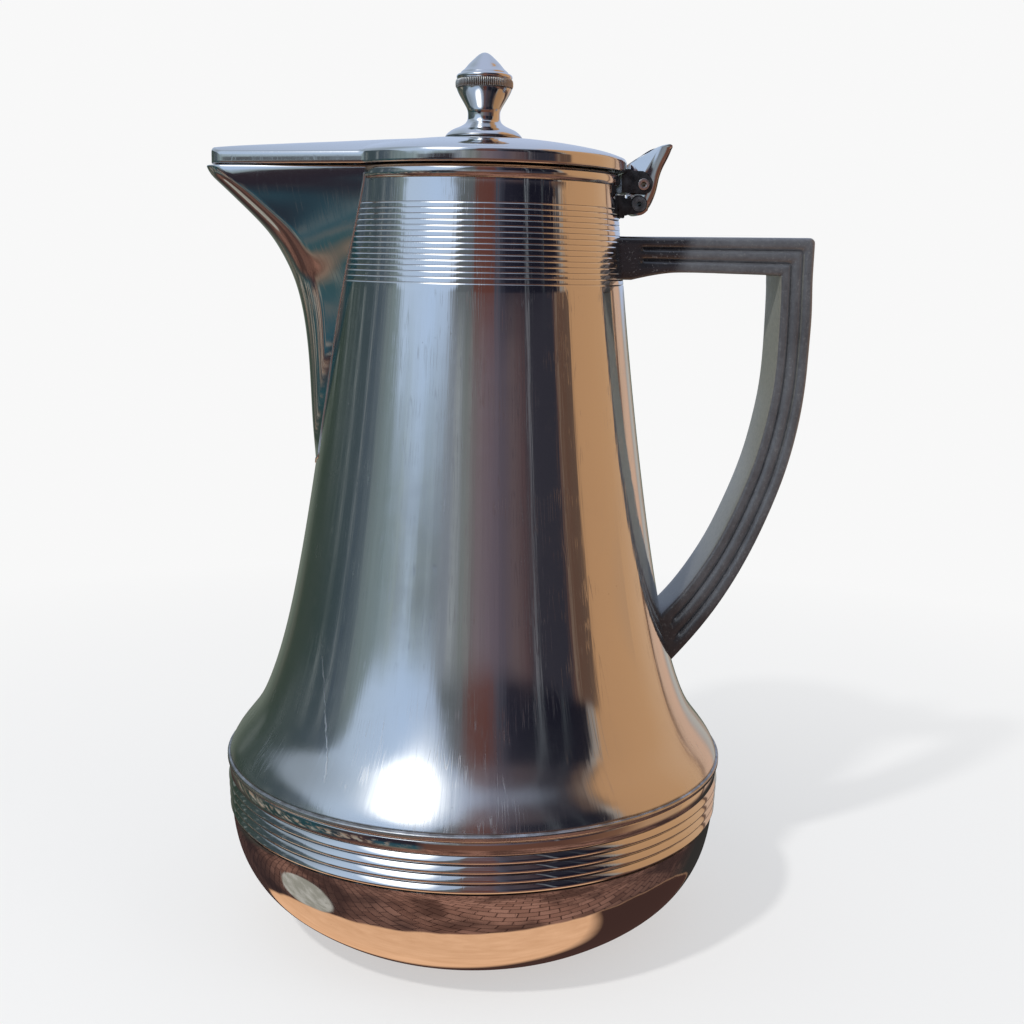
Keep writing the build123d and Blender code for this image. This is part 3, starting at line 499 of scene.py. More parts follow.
def dark_metal(name, base=(0.16, 0.155, 0.15), rough=(0.3, 0.55)):
    """Hinge parts whose plating has gone, dark with oil and dirt."""
    n = Nodes(name)
    f = n.noise(420.0, 5.0, 0.65)
    g = n.noise(1500.0, 3.0, 0.6)
    n.set(Metallic=0.35, Roughness=n.grey(f, 0.35, 0.7, rough[0], rough[1]))
    n.set(Base_Color=n.ramp(f, [(0.35, tuple(c * 0.45 for c in base)), (0.55, base),
                                (0.75, tuple(min(1, c * 1.9) for c in base))]))
    n.set(Normal=n.bump(n.math("ADD", f, n.math("MULTIPLY", g, 0.5)), 0.00006, 1.0))
    return n.mat


def phenolic(name):
    """Moulded dark handle: satin black with a grey bloom, pits and pale dust in places; a
    painted shadow keeps the bar's end at the wall black, and dust with painted light pales the inner face."""
    n = Nodes(name)
    bloom = n.noise(60.0, 4.0, 0.6)
    fine = n.noise(900.0, 4.0, 0.7)
    speck = n.grey(n.noise(1500.0, 2.0, 0.5), 0.62, 0.70)
    place_ = n.t.nodes.new("ShaderNodeSeparateXYZ")
    n.link(n.co, place_.inputs[0])
    # painted shadow: the bar's end at the wall is kept black up to a slanting edge across it; below the bar
    # there is none
    along = n.math("ADD", place_.outputs[0], n.math("MULTIPLY", place_.outputs[2], -0.5))
    outside_painted_shadow = n.grey(along, -0.0445, -0.0405)
    low = n.grey(place_.outputs[2], 0.190, 0.185)
    outside_painted_shadow = n.math("MAXIMUM", outside_painted_shadow, low)
    bloom_and_shade = n.math("MULTIPLY", n.grey(bloom, 0.3, 0.62, 0.55, 1.0),
                  n.grey(fine, 0.3, 0.7, 0.6, 1.0))
    bloom_and_shade = n.math("MULTIPLY", bloom_and_shade, n.grey(outside_painted_shadow, 0.0, 1.0, 0.12, 1.0))
    # less bloom towards the bottom of the grip
    bloom_and_shade = n.math("MULTIPLY", bloom_and_shade, n.grey(place_.outputs[2], 0.092, 0.106, 0.25, 1.0))
    col = n.mix(bloom_and_shade, (0.010, 0.010, 0.013), (0.098, 0.103, 0.116))
    # dust and painted light on the grip's inner face: faces turned towards the jug are made paler
    nx = n.t.nodes.new("ShaderNodeSeparateXYZ")
    geo = n.t.nodes.new("ShaderNodeTexCoord")
    n.link(geo.outputs["Normal"], nx.inputs[0])
    inner = n.grey(nx.outputs[0], -0.75, -0.95)
    col = n.mix(n.math("MULTIPLY", inner, n.grey(fine, 0.25, 0.6, 0.5, 0.9)), col,
                (0.24, 0.24, 0.205))
    brown = n.grey(n.noise(24.0, 2.0), 0.55, 0.75)
    col = n.mix(n.math("MULTIPLY", brown, 0.2), col, (0.035, 0.020, 0.016))
    col = n.mix(n.math("MULTIPLY", speck, 0.30), col, (0.22, 0.22, 0.22))
    rough = n.grey(n.math("ADD", bloom, n.math("MULTIPLY", fine, 0.4)), 0.4, 1.0, 0.36, 0.50)
    n.set(Base_Color=col, Roughness=n.math("MULTIPLY", rough, n.grey(outside_painted_shadow, 0.0, 1.0, 0.55, 1.0)))
    n.bsdf.inputs["Specular IOR Level"].default_value = 0.85
    n.bsdf.inputs["Coat Weight"].default_value = 0.6
    n.bsdf.inputs["Coat Roughness"].default_value = 0.16
    pits = n.grey(n.voronoi(900.0), 0.10, 0.26, 0.0, 1.0)
    nrm = n.bump(pits, 0.00003, 0.8)
    nrm = n.bump(fine, 0.00002, 0.9, nrm)
    nrm = n.bump(n.noise(46.0, 2.0), 0.00010, 1.0, nrm)
    n.set(Normal=nrm)
    return n.mat


def plain(name, color, rough, metal=0.0, spot=None, bump=(300.0, 0.00004), rvar=0.12):
    n = Nodes(name)
    f = n.noise(bump[0], 4.0, 0.6)
    other = spot or tuple(c * 0.75 for c in color)
    n.set(Base_Color=n.ramp(f, [(0.35, other), (0.62, color)]), Metallic=metal,
          Roughness=n.grey(f, 0.3, 0.7, max(0.02, rough - rvar), rough + rvar))
    n.set(Normal=n.bump(f, bump[1], 1.0))
    return n.mat


def cork(name):
    n = Nodes(name)
    grain = n.voronoi(520.0)
    big = n.noise(180.0, 4.0, 0.6)
    pore = n.grey(n.voronoi(230.0), 0.05, 0.22)
    col = n.ramp(big, [(0.3, (0.30, 0.17, 0.08)), (0.55, (0.47, 0.30, 0.16)),
                       (0.75, (0.58, 0.40, 0.23))])
    col = n.mix(n.math("SUBTRACT", 1.0, pore), col, (0.12, 0.06, 0.03))
    n.set(Base_Color=col, Roughness=0.85)
    n.set(Normal=n.bump(n.math("ADD", grain, pore), 0.0002, 0.8))
    return n.mat


# grime_and_shade bands: deposits with painted shade where the wall meets the bead
M_SHELL = chrome("plating_shell", (0.08, 0.17), haze=1.0, streak=1.0, fine=1.0, wave=0.7,
                 grime_and_shade=[(53.2, 53.5, 0.5)], side=0.45, foot=0.07, long_mark=True)
# deposits with painted shade in the valleys between the base's ribs
RIB_VALLEYS = [(36.6 + 2.76 * i - 0.1, 36.6 + 2.76 * i + 0.1, 0.18) for i in range(5)]
M_BASE = chrome("plating_base", (0.02, 0.055), haze=0.35, fine=0.4, wave=0.5,
                grime_and_shade=RIB_VALLEYS)
M_LID = chrome("plating_lid", (0.045, 0.11), haze=0.6, fine=0.6, wave=0.4)
# deposits with painted shade in the step under the rim band
M_RIM = chrome("plating_rim", (0.035, 0.08), haze=0.5, fine=0.5, wave=0.3,
               grime_and_shade=[(220.3, 220.6, 0.18)])
M_SPOUT = chrome("plating_spout", (0.05, 0.11), haze=0.6, fine=0.6, streak=0.4, wave=1.3)
M_SEAM = chrome("plating_seam", (0.22, 0.34), base=(0.88, 0.88, 0.88), haze=1.0, wave=1.0)
# deposits with painted shade where the knob's foot, stem, ring and cap meet
M_KNOB = chrome("plating_knob", (0.02, 0.06), haze=0.4, fine=0.4, wave=0.12,
                grime_and_shade=[(247.1, 247.3, 0.12), (249.6, 249.7, 0.1), (233.7, 233.9, 0.15)])
# teeth=90: painted shade in the gaps between the ninety knurls
M_RING = chrome("plating_knurl", (0.34, 0.44), base=(0.86, 0.84, 0.79), haze=0.2, wave=0.1,
                grime_and_shade=[(247.2, 247.35, 0.12)], teeth=90)
# back=0.93: painted shade, near black, on the lever's faces turned towards the handle
M_LEVER = chrome("plating_lever", (0.04, 0.10), haze=0.6, wave=0.2, back=0.93)
M_LUG = dark_metal("tarnished_lug", (0.030, 0.032, 0.038), (0.22, 0.42))
M_BRACKET = dark_metal("tarnished_bracket", (0.024, 0.025, 0.030), (0.24, 0.42))
M_PIN = dark_metal("tarnished_pin", (0.085, 0.088, 0.10), (0.18, 0.34))
M_RIVET = chrome("plating_rivet", (0.30, 0.42), base=(0.90, 0.89, 0.88), wave=0.1)
M_BORE = plain("rivet_bore", (0.55, 0.36, 0.17), 0.32, 1.0, (0.20, 0.13, 0.07),
               (900.0, 0.00002))
M_HANDLE = phenolic("moulded_handle")
M_TIN = plain("tinned_inside", (0.62, 0.61, 0.59), 0.30, 1.0, (0.45, 0.42, 0.38),
              (60.0, 0.00004))
M_GLASS = plain("silvered_glass", (0.78, 0.77, 0.74), 0.08, 1.0, (0.70, 0.68, 0.64),
                (14.0, 0.00003), 0.04)
M_CORK = cork("cork")
M_RUBBER = plain("rubber", (0.16, 0.045, 0.03), 0.65, 0.0, (0.10, 0.03, 0.02),
                 (240.0, 0.00005))
M_FELT = plain("felt", (0.30, 0.29, 0.27), 0.95, 0.0, (0.2, 0.19, 0.18), (1200.0, 0.0003),
               0.03)
M_BRASS = plain("brass", (0.60, 0.43, 0.20), 0.34, 1.0, (0.38, 0.25, 0.11),
                (200.0, 0.00003))
M_STEEL = plain("steel", (0.45, 0.44, 0.43), 0.36, 1.0, (0.26, 0.22, 0.2),
                (300.0, 0.00003))


# --------------------------------------------------------------------------
# Upper shell: turned sheet with fifteen cut lines and a rolled bead
# --------------------------------------------------------------------------
def groove_cut(z):
    """Depth of the turned lines at height z."""
    k = round((z - GROOVE_Z0) / GROOVE_PITCH)
    if not 0 <= k < GROOVES:
        return 0.0
    d = z - (GROOVE_Z0 + k * GROOVE_PITCH)
    t = (d + 0.32) / 0.40 if d < 0.08 else (0.20 - d) / 0.12
    t = max(0.0, min(1.0, t))
    return 0.14 * t * t * (3 - 2 * t)


def shell_rows(z0, z1):
    """Outer line of the wall between two heights, bottom first."""
    zs = set()
    z = z0
    while z < z1:
        zs.add(round(z, 4))
        z += 0.35 if z < 66 else (1.0 if z < 120 else 2.2)
    zs.add(z1)
    for k in range(GROOVES):
        zc = GROOVE_Z0 + k * GROOVE_PITCH
        for d in (-0.33, -0.27, -0.20, -0.13, -0.06, 0.0, 0.05, 0.08, 0.115, 0.15, 0.20):
            if z0 < zc + d < z1:
                zs.add(round(zc + d, 4))
    keep = []
    for z in sorted(zs):
        if keep and z - keep[-1] < 0.025:
            continue
        keep.append(z)
    if keep[-1] != z1:
        keep[-1] = z1
    return [(shell_r(z) - groove_cut(z), z) for z in keep]


SPLIT_Z = round(GROOVE_Z0 + 12 * GROOVE_PITCH, 4)
lower = [(73.5, 51.5), (74.25, 51.5)] + arc((74.25, 52.4), 0.9, -90, 90, 13)[1:-1]
lower = [(min(r, 75.0), z) for r, z in lower]
lower += [(74.32, 53.3), (74.2, 53.42)] + shell_rows(53.6, SPLIT_Z)
inner_low = [(shell_r(z) - SHEET, z) for z in
             [SPLIT_Z, 205, 198, 190, 180, 168, 155, 140, 125, 110, 98, 88, 80, 74, 69, 65,
              62, 59.5, 57.5, 56]]
lower += inner_low + [(73.0, 54.6), (73.5, 53.4)]
lathe("upper_shell", lower, "body", M_SHELL, 288, True, 40, ("upper_shell",))

upper = shell_rows(SPLIT_Z, 219.8)[0:]
upper += [(38.62, 222.7), (38.5, 223.0), (37.8, 223.0), (37.7, 222.7), (37.8, 219.8),
          (38.25, 214.8), (shell_r(SPLIT_Z) - SHEET, SPLIT_Z)]
uv, uf = lathe_data(upper, 288, True)
collar = place("upper_shell_collar", uv, uf, "body", M_SHELL, None)
window = [(-15.5, 225), (15.5, 225), (14.5, 216), (12, 211.6), (-12, 211.6), (-14.5, 216)]


def window_cutter(outline, x0=-50, x1=-26):
    n = len(outline)
    verts = [(x0, y, z) for y, z in outline] + [(x1, y, z) for y, z in outline]
    faces = [tuple(range(n)), tuple(range(2 * n - 1, n - 1, -1))]
    faces += [(i, i + n, (i + 1) % n + n, (i + 1) % n) for i in range(n)]
    me = bpy.data.meshes.new("cutter")
    me.from_pydata([tuple(c * MM for c in v) for v in verts], [], faces)
    bm = bmesh.new()
    bm.from_mesh(me)
    bmesh.ops.recalc_face_normals(bm, faces=bm.faces)
    bm.to_mesh(me)
    bm.free()
    obj = bpy.data.objects.new("cutter", me)
    bpy.context.scene.collection.objects.link(obj)
    return obj


boolean(collar, window_cutter(window))
smooth(collar, 40)

# --------------------------------------------------------------------------
# Base cup with four ribs
# --------------------------------------------------------------------------
cup = [(36.4, 0.0), (39.5, 0.0)] + cubic(CUP, 90, t0=(1, 0.02), t1=(0.02, 1))[1:]
r, z = 73.2, 36.6
cup.append((r, z))
for _ in range(4):
    for k in range(1, 25):
        t = (0.5 - 0.5 * math.cos(math.pi * k / 24))
        f = math.sin(math.pi / 2 * t / 0.42) ** 0.8 if t < 0.42 else \
            max(0.0, 1 - ((t - 0.42) / 0.58) ** 1.25) ** 0.9
        cup.append((r + 0.12 * t + 1.13 * f, z + 2.76 * t))
    r, z = r + 0.12, z + 2.76
cup += [(74.15, 47.74), (74.27, 47.85), (74.3, 48.05), (74.3, 51.0), (74.2, 51.2), (74.0, 51.3),
        (73.3, 51.3), (73.3, 48.0), (72.75, 36.5)]
cup += [(72.15, 31.2), (70.9, 25.9), (68.6, 20.5), (65.3, 15.5), (60.9, 11.1), (55.5, 7.1),
        (49.8, 3.7), (44.6, 1.85), (39.5, 1.1), (36.6, 1.1), (36.0, 1.6), (33.0, 1.6),
        (32.4, 1.1), (0, 1.1), (0, 0), (32.6, 0), (32.9, 0.1), (33.2, 0.45), (33.6, 0.55),
        (35.4, 0.55), (35.8, 0.45), (36.1, 0.1)]
lathe("base_cup", cup, "body", M_BASE, 288, True, 40, ("base_cup",))


# --------------------------------------------------------------------------
# Rim band, open towards the spout
# --------------------------------------------------------------------------
def partial_lathe(name, loop, a0, a1, seg, body, mat, angle=40, stands_for=()):
    m = len(loop)
    verts, faces = [], []
    for k in range(seg + 1):
        t = math.radians(a0 + (a1 - a0) * k / seg)
        verts += [(r * math.cos(t), r * math.sin(t), z) for r, z in loop]
    for k in range(seg):
        for i in range(m):
            j = (i + 1) % m
            faces.append((k * m + i, k * m + j, (k + 1) * m + j, (k + 1) * m + i))
    faces.append(tuple(range(m - 1, -1, -1)))
    faces.append(tuple(seg * m + i for i in range(m)))
    return place(name, verts, faces, body, mat, angle, stands_for)


band = [(38.74, 223.0), (38.74, 220.5), (39.02, 220.46)]
c0 = cubic([(39.1, 220.5), (39.5, 221.3), (39.55, 222.2), (39.4, 223.1), (39.05, 223.75)],
           14)
band += c0 + [(38.8, SEAT_Z), (37.4, SEAT_Z), (37.05, 223.8), (36.92, 223.5), (37.02, 223.02)]
partial_lathe("rim_band", band, -148.9, 148.9, 240, "body", M_RIM, 38, ("rim_band",))


# --------------------------------------------------------------------------
# Spout
# --------------------------------------------------------------------------
SPOUT = [(135.0, 47.9, 5.5, 8.0), (141.0, 48.25, 6.0, 8.6), (149.0, 48.9, 6.5, 7.8),
         (157.8, 49.4, 7.0, 8.8), (168.0, 49.9, 7.5, 10.2), (178.0, 50.8, 8.5, 12.0),
         (186.8, 52.3, 9.5, 14.6), (194.0, 54.5, 10.5, 17.4), (200.0, 57.4, 11.5, 19.9),
         (205.5, 61.0, 11.5, 22.6), (210.5, 65.6, 10.5, 24.8), (215.0, 70.3, 9.3, 26.6),
         (219.0, 74.6, 8.2, 28.0), (221.6, 77.2, 7.2, 28.7), (223.9, 78.4, 6.5, 29.0)]


def spline_of(xs, ys):
    """Natural cubic spline through (xs, ys), as a function."""
    xs, ys = np.array(xs, float), np.array(ys, float)
    m = len(xs)
    h = np.diff(xs)
    a, b = np.eye(m), np.zeros(m)
    for i in range(1, m - 1):
        a[i, i - 1], a[i, i], a[i, i + 1] = h[i - 1], 2 * (h[i - 1] + h[i]), h[i]
        b[i] = 6 * ((ys[i + 1] - ys[i]) / h[i] - (ys[i] - ys[i - 1]) / h[i - 1])
    s = np.linalg.solve(a, b)

    def f(x):
        i = min(max(int(np.searchsorted(xs, x) - 1), 0), m - 2)
        u, v, hi = xs[i + 1] - x, x - xs[i], h[i]
        return float((s[i] * u ** 3 + s[i + 1] * v ** 3) / (6 * hi)
                     + (ys[i] / hi - s[i] * hi / 6) * u + (ys[i + 1] / hi - s[i + 1] * hi / 6) * v)
    return f


_keel = spline_of([s[0] for s in SPOUT], [s[1] for s in SPOUT])
_kr = spline_of([s[0] for s in SPOUT], [s[2] for s in SPOUT])
_phi = spline_of([s[0] for s in SPOUT], [s[3] for s in SPOUT])


def spout_line(z, t=0.0, n_side=26, n_arc=18, root=2.0):
    """One level section of the spout's skin moved inward by t, as (x, y) across it."""
    keel, kr, phi = _keel(z), _kr(z), _phi(z)
    r = shell_r(min(z, 219.9))
    a = math.radians(phi)
    low = keel < r + 0.3
    rr = r - root if low else r
    sx, sy = rr * math.cos(a), rr * math.sin(a)
    cx = keel - kr
    dx, dy = sx - cx, sy
    d = math.hypot(dx, dy)
    beta = math.atan2(dy, dx) - math.acos(max(-1.0, min(1.0, kr / d)))
    nx, ny = math.cos(beta), math.sin(beta)
    if not low:
        ux, uy = sx - (cx + kr * nx), sy - kr * ny
        n = math.hypot(ux, uy)
        sx, sy = sx + ux / n * root, sy + uy / n * root
    k = kr - t
    tx, ty = cx + k * nx, k * ny
    sx, sy = sx - t * nx, sy - t * ny
    half = [(sx + (tx - sx) * i / n_side, sy + (ty - sy) * i / n_side) for i in range(n_side)]
    half += [(cx + k * math.cos(beta * (1 - i / n_arc)), k * math.sin(beta * (1 - i / n_arc)))
             for i in range(n_arc)]
    line = half + [(cx + k, 0.0)] + [(x, -y) for x, y in reversed(half)]
    return [(-x, y) for x, y in line]


rows = []
zs = list(np.linspace(135.2, 223.3, 96))
for zz in zs:
    rows.append([(x, y, zz) for x, y in spout_line(zz)])
for t, zz in ((0.02, 223.5), (0.10, 223.7), (0.24, 223.84), (0.45, 223.9), (0.66, 223.84),
              (0.80, 223.7), (0.88, 223.5)):
    rows.append([(x, y, zz) for x, y in spout_line(zz, t)])
for zz in reversed(zs[::2]):
    rows.append([(x, y, zz) for x, y in spout_line(zz, SHEET)])
cols = len(rows[0])
sv = [p for row in rows for p in row]
sf = []
nr = len(rows)
for i in range(nr):
    j = (i + 1) % nr
    for k in range(cols - 1):
        sf.append((i * cols + k, i * cols + k + 1, j * cols + k + 1, j * cols + k))
sf.append(tuple(i * cols for i in range(nr)))
sf.append(tuple(i * cols + cols - 1 for i in reversed(range(nr))))
spout = place("spout_shell", sv, sf, "body", M_SPOUT, 40, ("spout_shell",))


def tube(name, path, radius, body, mat, seg=10):
    """A round bead of solder along a path of points; radius may vary along it."""
    verts, faces = [], []
    pts = [Vector(p) for p in path]
    up = None
    for i, p in enumerate(pts):
        t = (pts[min(i + 1, len(pts) - 1)] - pts[max(i - 1, 0)]).normalized()
        if up is None:
            up = t.orthogonal().normalized()
        up = (up - t * up.dot(t)).normalized()
        side = t.cross(up)
        rr = radius[i] if isinstance(radius, list) else radius
        for k in range(seg):
            a = 2 * math.pi * k / seg
            verts.append(tuple(p + up * (rr * math.cos(a)) + side * (rr * math.sin(a))))
    for i in range(len(pts) - 1):
        for k in range(seg):
            j = (k + 1) % seg
            faces.append((i * seg + k, i * seg + j, (i + 1) * seg + j, (i + 1) * seg + k))
    faces.append(tuple(range(seg - 1, -1, -1)))
    faces.append(tuple((len(pts) - 1) * seg + k for k in range(seg)))
    return place(name, verts, faces, body, mat, 60, ())


def seam_path(top):
    """Where the spout's skin leaves the wall, from the top on one side round the foot."""
    left = []
    for zz in np.arange(138.0, top, 0.6):
        line = spout_line(float(zz), 0.0, 60, 40)
        rs = shell_r(min(float(zz), 219.9))
        half = line[:len(line) // 2 + 1]
        hit = None
        for p, q in zip(half, half[1:]):
            a, b = math.hypot(*p) - rs, math.hypot(*q) - rs
            if a <= 0 < b:
                f = a / (a - b)
                hit = (p[0] + (q[0] - p[0]) * f, p[1] + (q[1] - p[1]) * f)
                break
        if hit:
            left.append((hit[0], hit[1], float(zz)))
    left.reverse()
    foot = left[-1]
    ends = [(-math.sqrt(max(0, shell_r(foot[2] - 0.4) ** 2 - (foot[1] * c) ** 2)), foot[1] * c,
             foot[2] - 0.45 * (1 - c)) for c in (0.75, 0.4, 0.0, -0.4, -0.75)]
    return left + ends + [(x, -y, zz) for x, y, zz in reversed(left)]


path = seam_path(222.6)
tube("spout_seam", path, 0.34, "body", M_SEAM, 10)

# --------------------------------------------------------------------------
# Handle
# --------------------------------------------------------------------------
OUT_LINE = [(97.3, 195.0), (97.6, 186.0), (97.4, 176.0), (97.0, 166.0), (96.0, 156.0),
            (94.3, 146.5), (91.7, 136.5), (88.2, 126.5), (83.8, 116.0), (78.2, 105.0),
            (71.8, 94.8), (65.0, 86.0), (60.2, 80.5)]
IN_LINE = [(87.5, 190.0), (87.5, 182.0), (87.3, 171.5), (86.6, 162.5), (85.1, 153.5),
           (82.9, 144.0), (80.0, 135.0), (76.4, 126.0), (72.0, 116.6), (66.6, 107.6),
           (60.6, 99.6), (56.6, 95.3)]


def bar_top(x):
    return 206.6 + 0.8 * (x - 36) / 61


_flare = spline_of([36, 42.4, 47, 54, 60, 66, 76], [192.4, 194.2, 195.3, 196.5, 196.8, 196.8, 196.72])


def bar_bottom(x):
    return _flare(x) if x < 70 else 196.8 - 0.3 * (x - 66) / 21.3


def straight_bottom(x):
    return 196.85 - 0.3 * (x - 66) / 21.3


def side_profile(lp, l0, g, rc=1.9, ri=1.0, deep=1.1):
    """(distance from the outer face, half width) along one side: three rounded ribs."""
    h = HANDLE_HALF
    pts = [(rc * (1 - math.sin(math.radians(a))), h - rc * (1 - math.cos(math.radians(a))))
           for a in (90, 72, 54, 36, 18, 0)]
    v1, v2, e = 0.345 * l0, 0.69 * l0, lp - ri

    def rib(crown, valley, ts, power=2.05):
        return [(crown + (valley - crown) * t, h - deep * g * abs(t) ** power) for t in ts]
    down = (0.15, 0.3, 0.45, 0.58, 0.7, 0.8, 0.88, 0.95, 1.0)
    pts += rib(rc + 0.12 * (v1 - rc), v1, down)
    mid = (v1 + v2) / 2
    pts += rib(mid, v1, [t for t in reversed(down) if t < 1.0])
    pts += [(mid, h)]
    pts += rib(mid, v2, down)
    crown = v2 + (e - v2) * 0.62
    pts += rib(crown, v2, [t for t in reversed(down) if t < 1.0])
    pts += [(crown, h)]
    pts += [(e + ri * math.sin(math.radians(a)), h - ri * (1 - math.cos(math.radians(a))))
            for a in (0, 18, 36, 54, 72, 90)]
    return pts


def handle_loop(o, i, lp, l0, g):
    """Closed cross-section: across the outer face, down one side, back over the inner face."""
    side = side_profile(lp, l0, g)
    crown = 0.12
    outer = [(-crown * (1 - (y / 7.2) ** 2), y) for y in (-5.4, -3.6, -1.8, 0, 1.8, 3.6, 5.4)]
    inner = [(lp + 0.10 * (1 - (y / 7.2) ** 2), y) for y in (5.6, 3.8, 1.9, 0, -1.9, -3.8, -5.6)]
    loop = outer + side + inner + [(d, -y) for d, y in reversed(side)]
    out = []
    for d, y in loop:
        v = d / lp
        out.append((o[0] + (i[0] - o[0]) * v, y, o[1] + (i[1] - o[1]) * v))
    return out


def soft_step(t):
    t = max(0.0, min(1.0, t))
    return math.sqrt(max(0.0, 1 - (1 - t) ** 2))


stations = []
x = 41.9
while x < 80:
    g = soft_step((x - 45.4) / 1.5)
    stations.append(((x, bar_top(x)), (x, bar_bottom(x)), bar_top(x) - bar_bottom(x),
                     min(bar_top(x) - straight_bottom(x), bar_top(x) - bar_bottom(x)), g))
    x += 0.3 if 44.8 < x < 47.4 else 1.15
RF = 1.5
xo1, xi1 = 97.3 - RF, 86.85
for t in np.linspace(0, 1, 13):
    xo, xi = 80 + (xo1 - 80) * t, 80 + (xi1 - 80) * t
    lp = bar_top(xo) - bar_bottom(xi)
    stations.append(((xo, bar_top(xo)), (xi, bar_bottom(xi)), lp, lp, 1.0))
zt = bar_top(97.3) - 0.02
lp_a, lp_b = stations[-1][2], 97.35 - 87.3
for t in np.linspace(0.1, 0.9, 8):
    a = math.radians(90 * (1 - t))
    o = (97.35 - RF + RF * math.cos(a), zt - RF + RF * math.sin(a))
    b = math.radians(90 * (1 - t))
    ii = (87.3 - 0.45 + 0.45 * math.cos(b), 196.5 - 0.45 + 0.45 * math.sin(b))
    lp = lp_a + (lp_b - lp_a) * t
    stations.append((o, ii, lp, lp, 1.0))
down_o = cubic([(97.35, zt - RF), (97.32, 201.5)] + OUT_LINE, 92, t0=(0, -1))
down_i = cubic([(87.3, 196.05), (87.42, 193.2)] + IN_LINE, 92, t0=(0, -1))
for k, (o, ii) in enumerate(zip(down_o, down_i)):
    a, b = down_o[max(k - 1, 0)], down_o[min(k + 1, 91)]
    tx, tz = b[0] - a[0], b[1] - a[1]
    nn = math.hypot(tx, tz)
    lp = abs((ii[0] - o[0]) * tz - (ii[1] - o[1]) * tx) / nn
    mid = (o[1] + ii[1]) / 2
    g = soft_step((mid - 89.2) / 1.6)
    stations.append((o, ii, lp, lp, g))
loops = [handle_loop(*s) for s in stations]


def on_shell(p, d):
    """Slides p along d until it meets the wall, a little inside it."""
    lo, hi = 0.0, 40.0
    f = lambda s: math.hypot(p[0] + d[0] * s, p[1]) - (shell_r(min(max(p[2] + d[1] * s, 53.7), 219)) - 0.3)
    if f(0.0) <= 0:
        lo, hi = -30.0, 0.0
        s_a, s_b = hi, lo
    else:
        s_a, s_b = lo, hi
    # march, then halve
    step = (s_b - s_a) / 200
    s = s_a
    base = f(s_a)
    for _ in range(200):
        nxt = s + step
        if (f(nxt) > 0) != (base > 0):
            a, b = s, nxt
            for _ in range(30):
                m = (a + b) / 2
                if (f(m) > 0) == (base > 0):
                    a = m
                else:
                    b = m
            return (p[0] + d[0] * b, p[1], p[2] + d[1] * b)
        s = nxt
    return p


first = [on_shell(p, (-1.0, 0.0)) for p in loops[1]]
end_dir = Vector((down_o[-1][0] - down_o[-4][0], down_o[-1][1] - down_o[-4][1])).normalized()
cut = len(loops)
last = None
while True:
    test = loops[cut - 1]
    if all(math.hypot(p[0], p[1]) > shell_r(p[2]) + 0.05 for p in test):
        break
    cut -= 1
last = [on_shell(p, (end_dir.x, end_dir.y)) for p in loops[cut - 1]]
loops = [first] + [l for l in loops[1:cut]
                   if all(math.hypot(p[0], p[1]) > shell_r(min(p[2], 219)) + 0.05 for p in l)] + [last]
n = len(loops[0])
hv = [p for l in loops for p in l]
hf = []
for s in range(len(loops) - 1):
    for k in range(n):
        j = (k + 1) % n
        hf.append((s * n + k, s * n + j, (s + 1) * n + j, (s + 1) * n + k))
hf.append(tuple(range(n - 1, -1, -1)))
hf.append(tuple((len(loops) - 1) * n + k for k in range(n)))
place("handle", hv, hf, "body", M_HANDLE, 50, ("handle",))


# --------------------------------------------------------------------------
# Lid
# --------------------------------------------------------------------------
def lid_outline(inset=0.0):
    """Outline of the lid as (x, y, outward normal), counter-clockwise from the rear."""
    sl = BEAK_SLOPE
    hyp = math.sqrt(1 + sl * sl)
    apex = BEAK_APEX_X + inset * hyp / sl
    R = LID_R - inset
    tip = BEAK_TIP_R - inset
    # where the straight side meets the circle
    a = 1 + sl * sl
    b = -2 * sl * sl * apex
    c = sl * sl * apex * apex - R * R
    xk = (-b - math.sqrt(b * b - 4 * a * c)) / (2 * a)
    yk = (xk - apex) * sl
    ak = math.atan2(yk, xk)
    out = []
    for t in np.linspace(0, ak, 150):
        out.append((R * math.cos(t), R * math.sin(t), math.cos(t), math.sin(t)))
    beta = math.atan(sl)
    nx, ny = -math.sin(beta), math.cos(beta)
    cx = apex + tip / math.sin(beta)
    ex, ey = cx + tip * nx, tip * ny
    m = 46
    side = [(xk + (ex - xk) * i / m, yk + (ey - yk) * i / m, nx, ny) for i in range(1, m + 1)]
    mx, my = (math.cos(ak) + nx), (math.sin(ak) + ny)
    mm = (mx * nx + my * ny)
    out[-1] = (out[-1][0], out[-1][1], mx / mm, my / mm)
    out += side
    a0 = math.atan2(ny, nx)
    for t in np.linspace(a0, math.pi, 15)[1:]:
        out.append((cx + tip * math.cos(t), tip * math.sin(t), math.cos(t), math.sin(t)))
    mirror = [(x, -y, nx_, -ny_) for x, y, nx_, ny_ in reversed(out[1:-1])]
    return out + mirror


_dome = spline_of([0, 6, 11, 14, 20, 26, 31, 36, 39, 40.6, 41.2, 44],
                  [233.25, 233.25, 233.1, 232.9, 232.3, 231.5, 230.65, 229.6, 228.7, 227.95,
                   227.55, 225.8])
_ridge = spline_of([-84, -80.0, -74.5, -60.0, -50.0, -41.0, -25.0, -12.0, 0],
                   [227.9, 228.45, 229.1, 230.2, 230.85, 231.4, 232.45, 233.0, 233.2])


def lid_height(x, y):
    r = math.hypot(x, y)
    zd = _dome(min(r, 43.9)) if r < 43.9 else 226.0 - (r - 43.9) * 0.7
    if x > -6:
        return zd
    w = max((x - BEAK_APEX_X) * BEAK_SLOPE, 0.8)
    top = _ridge(max(x, -84.0))
    edge = 227.5
    u = y / w
    zb = edge + (top - edge) * (1 - abs(u) ** 1.8) if abs(u) <= 1 else \
        edge - (top - edge) * 1.8 * (abs(u) - 1)
    k = 0.07
    d = (zd - zb) / k
    if d > 30:
        return zd
    if d < -30:
        return zb
    return k * math.log(math.exp(zd / k - zb / k) + 1.0) + zb


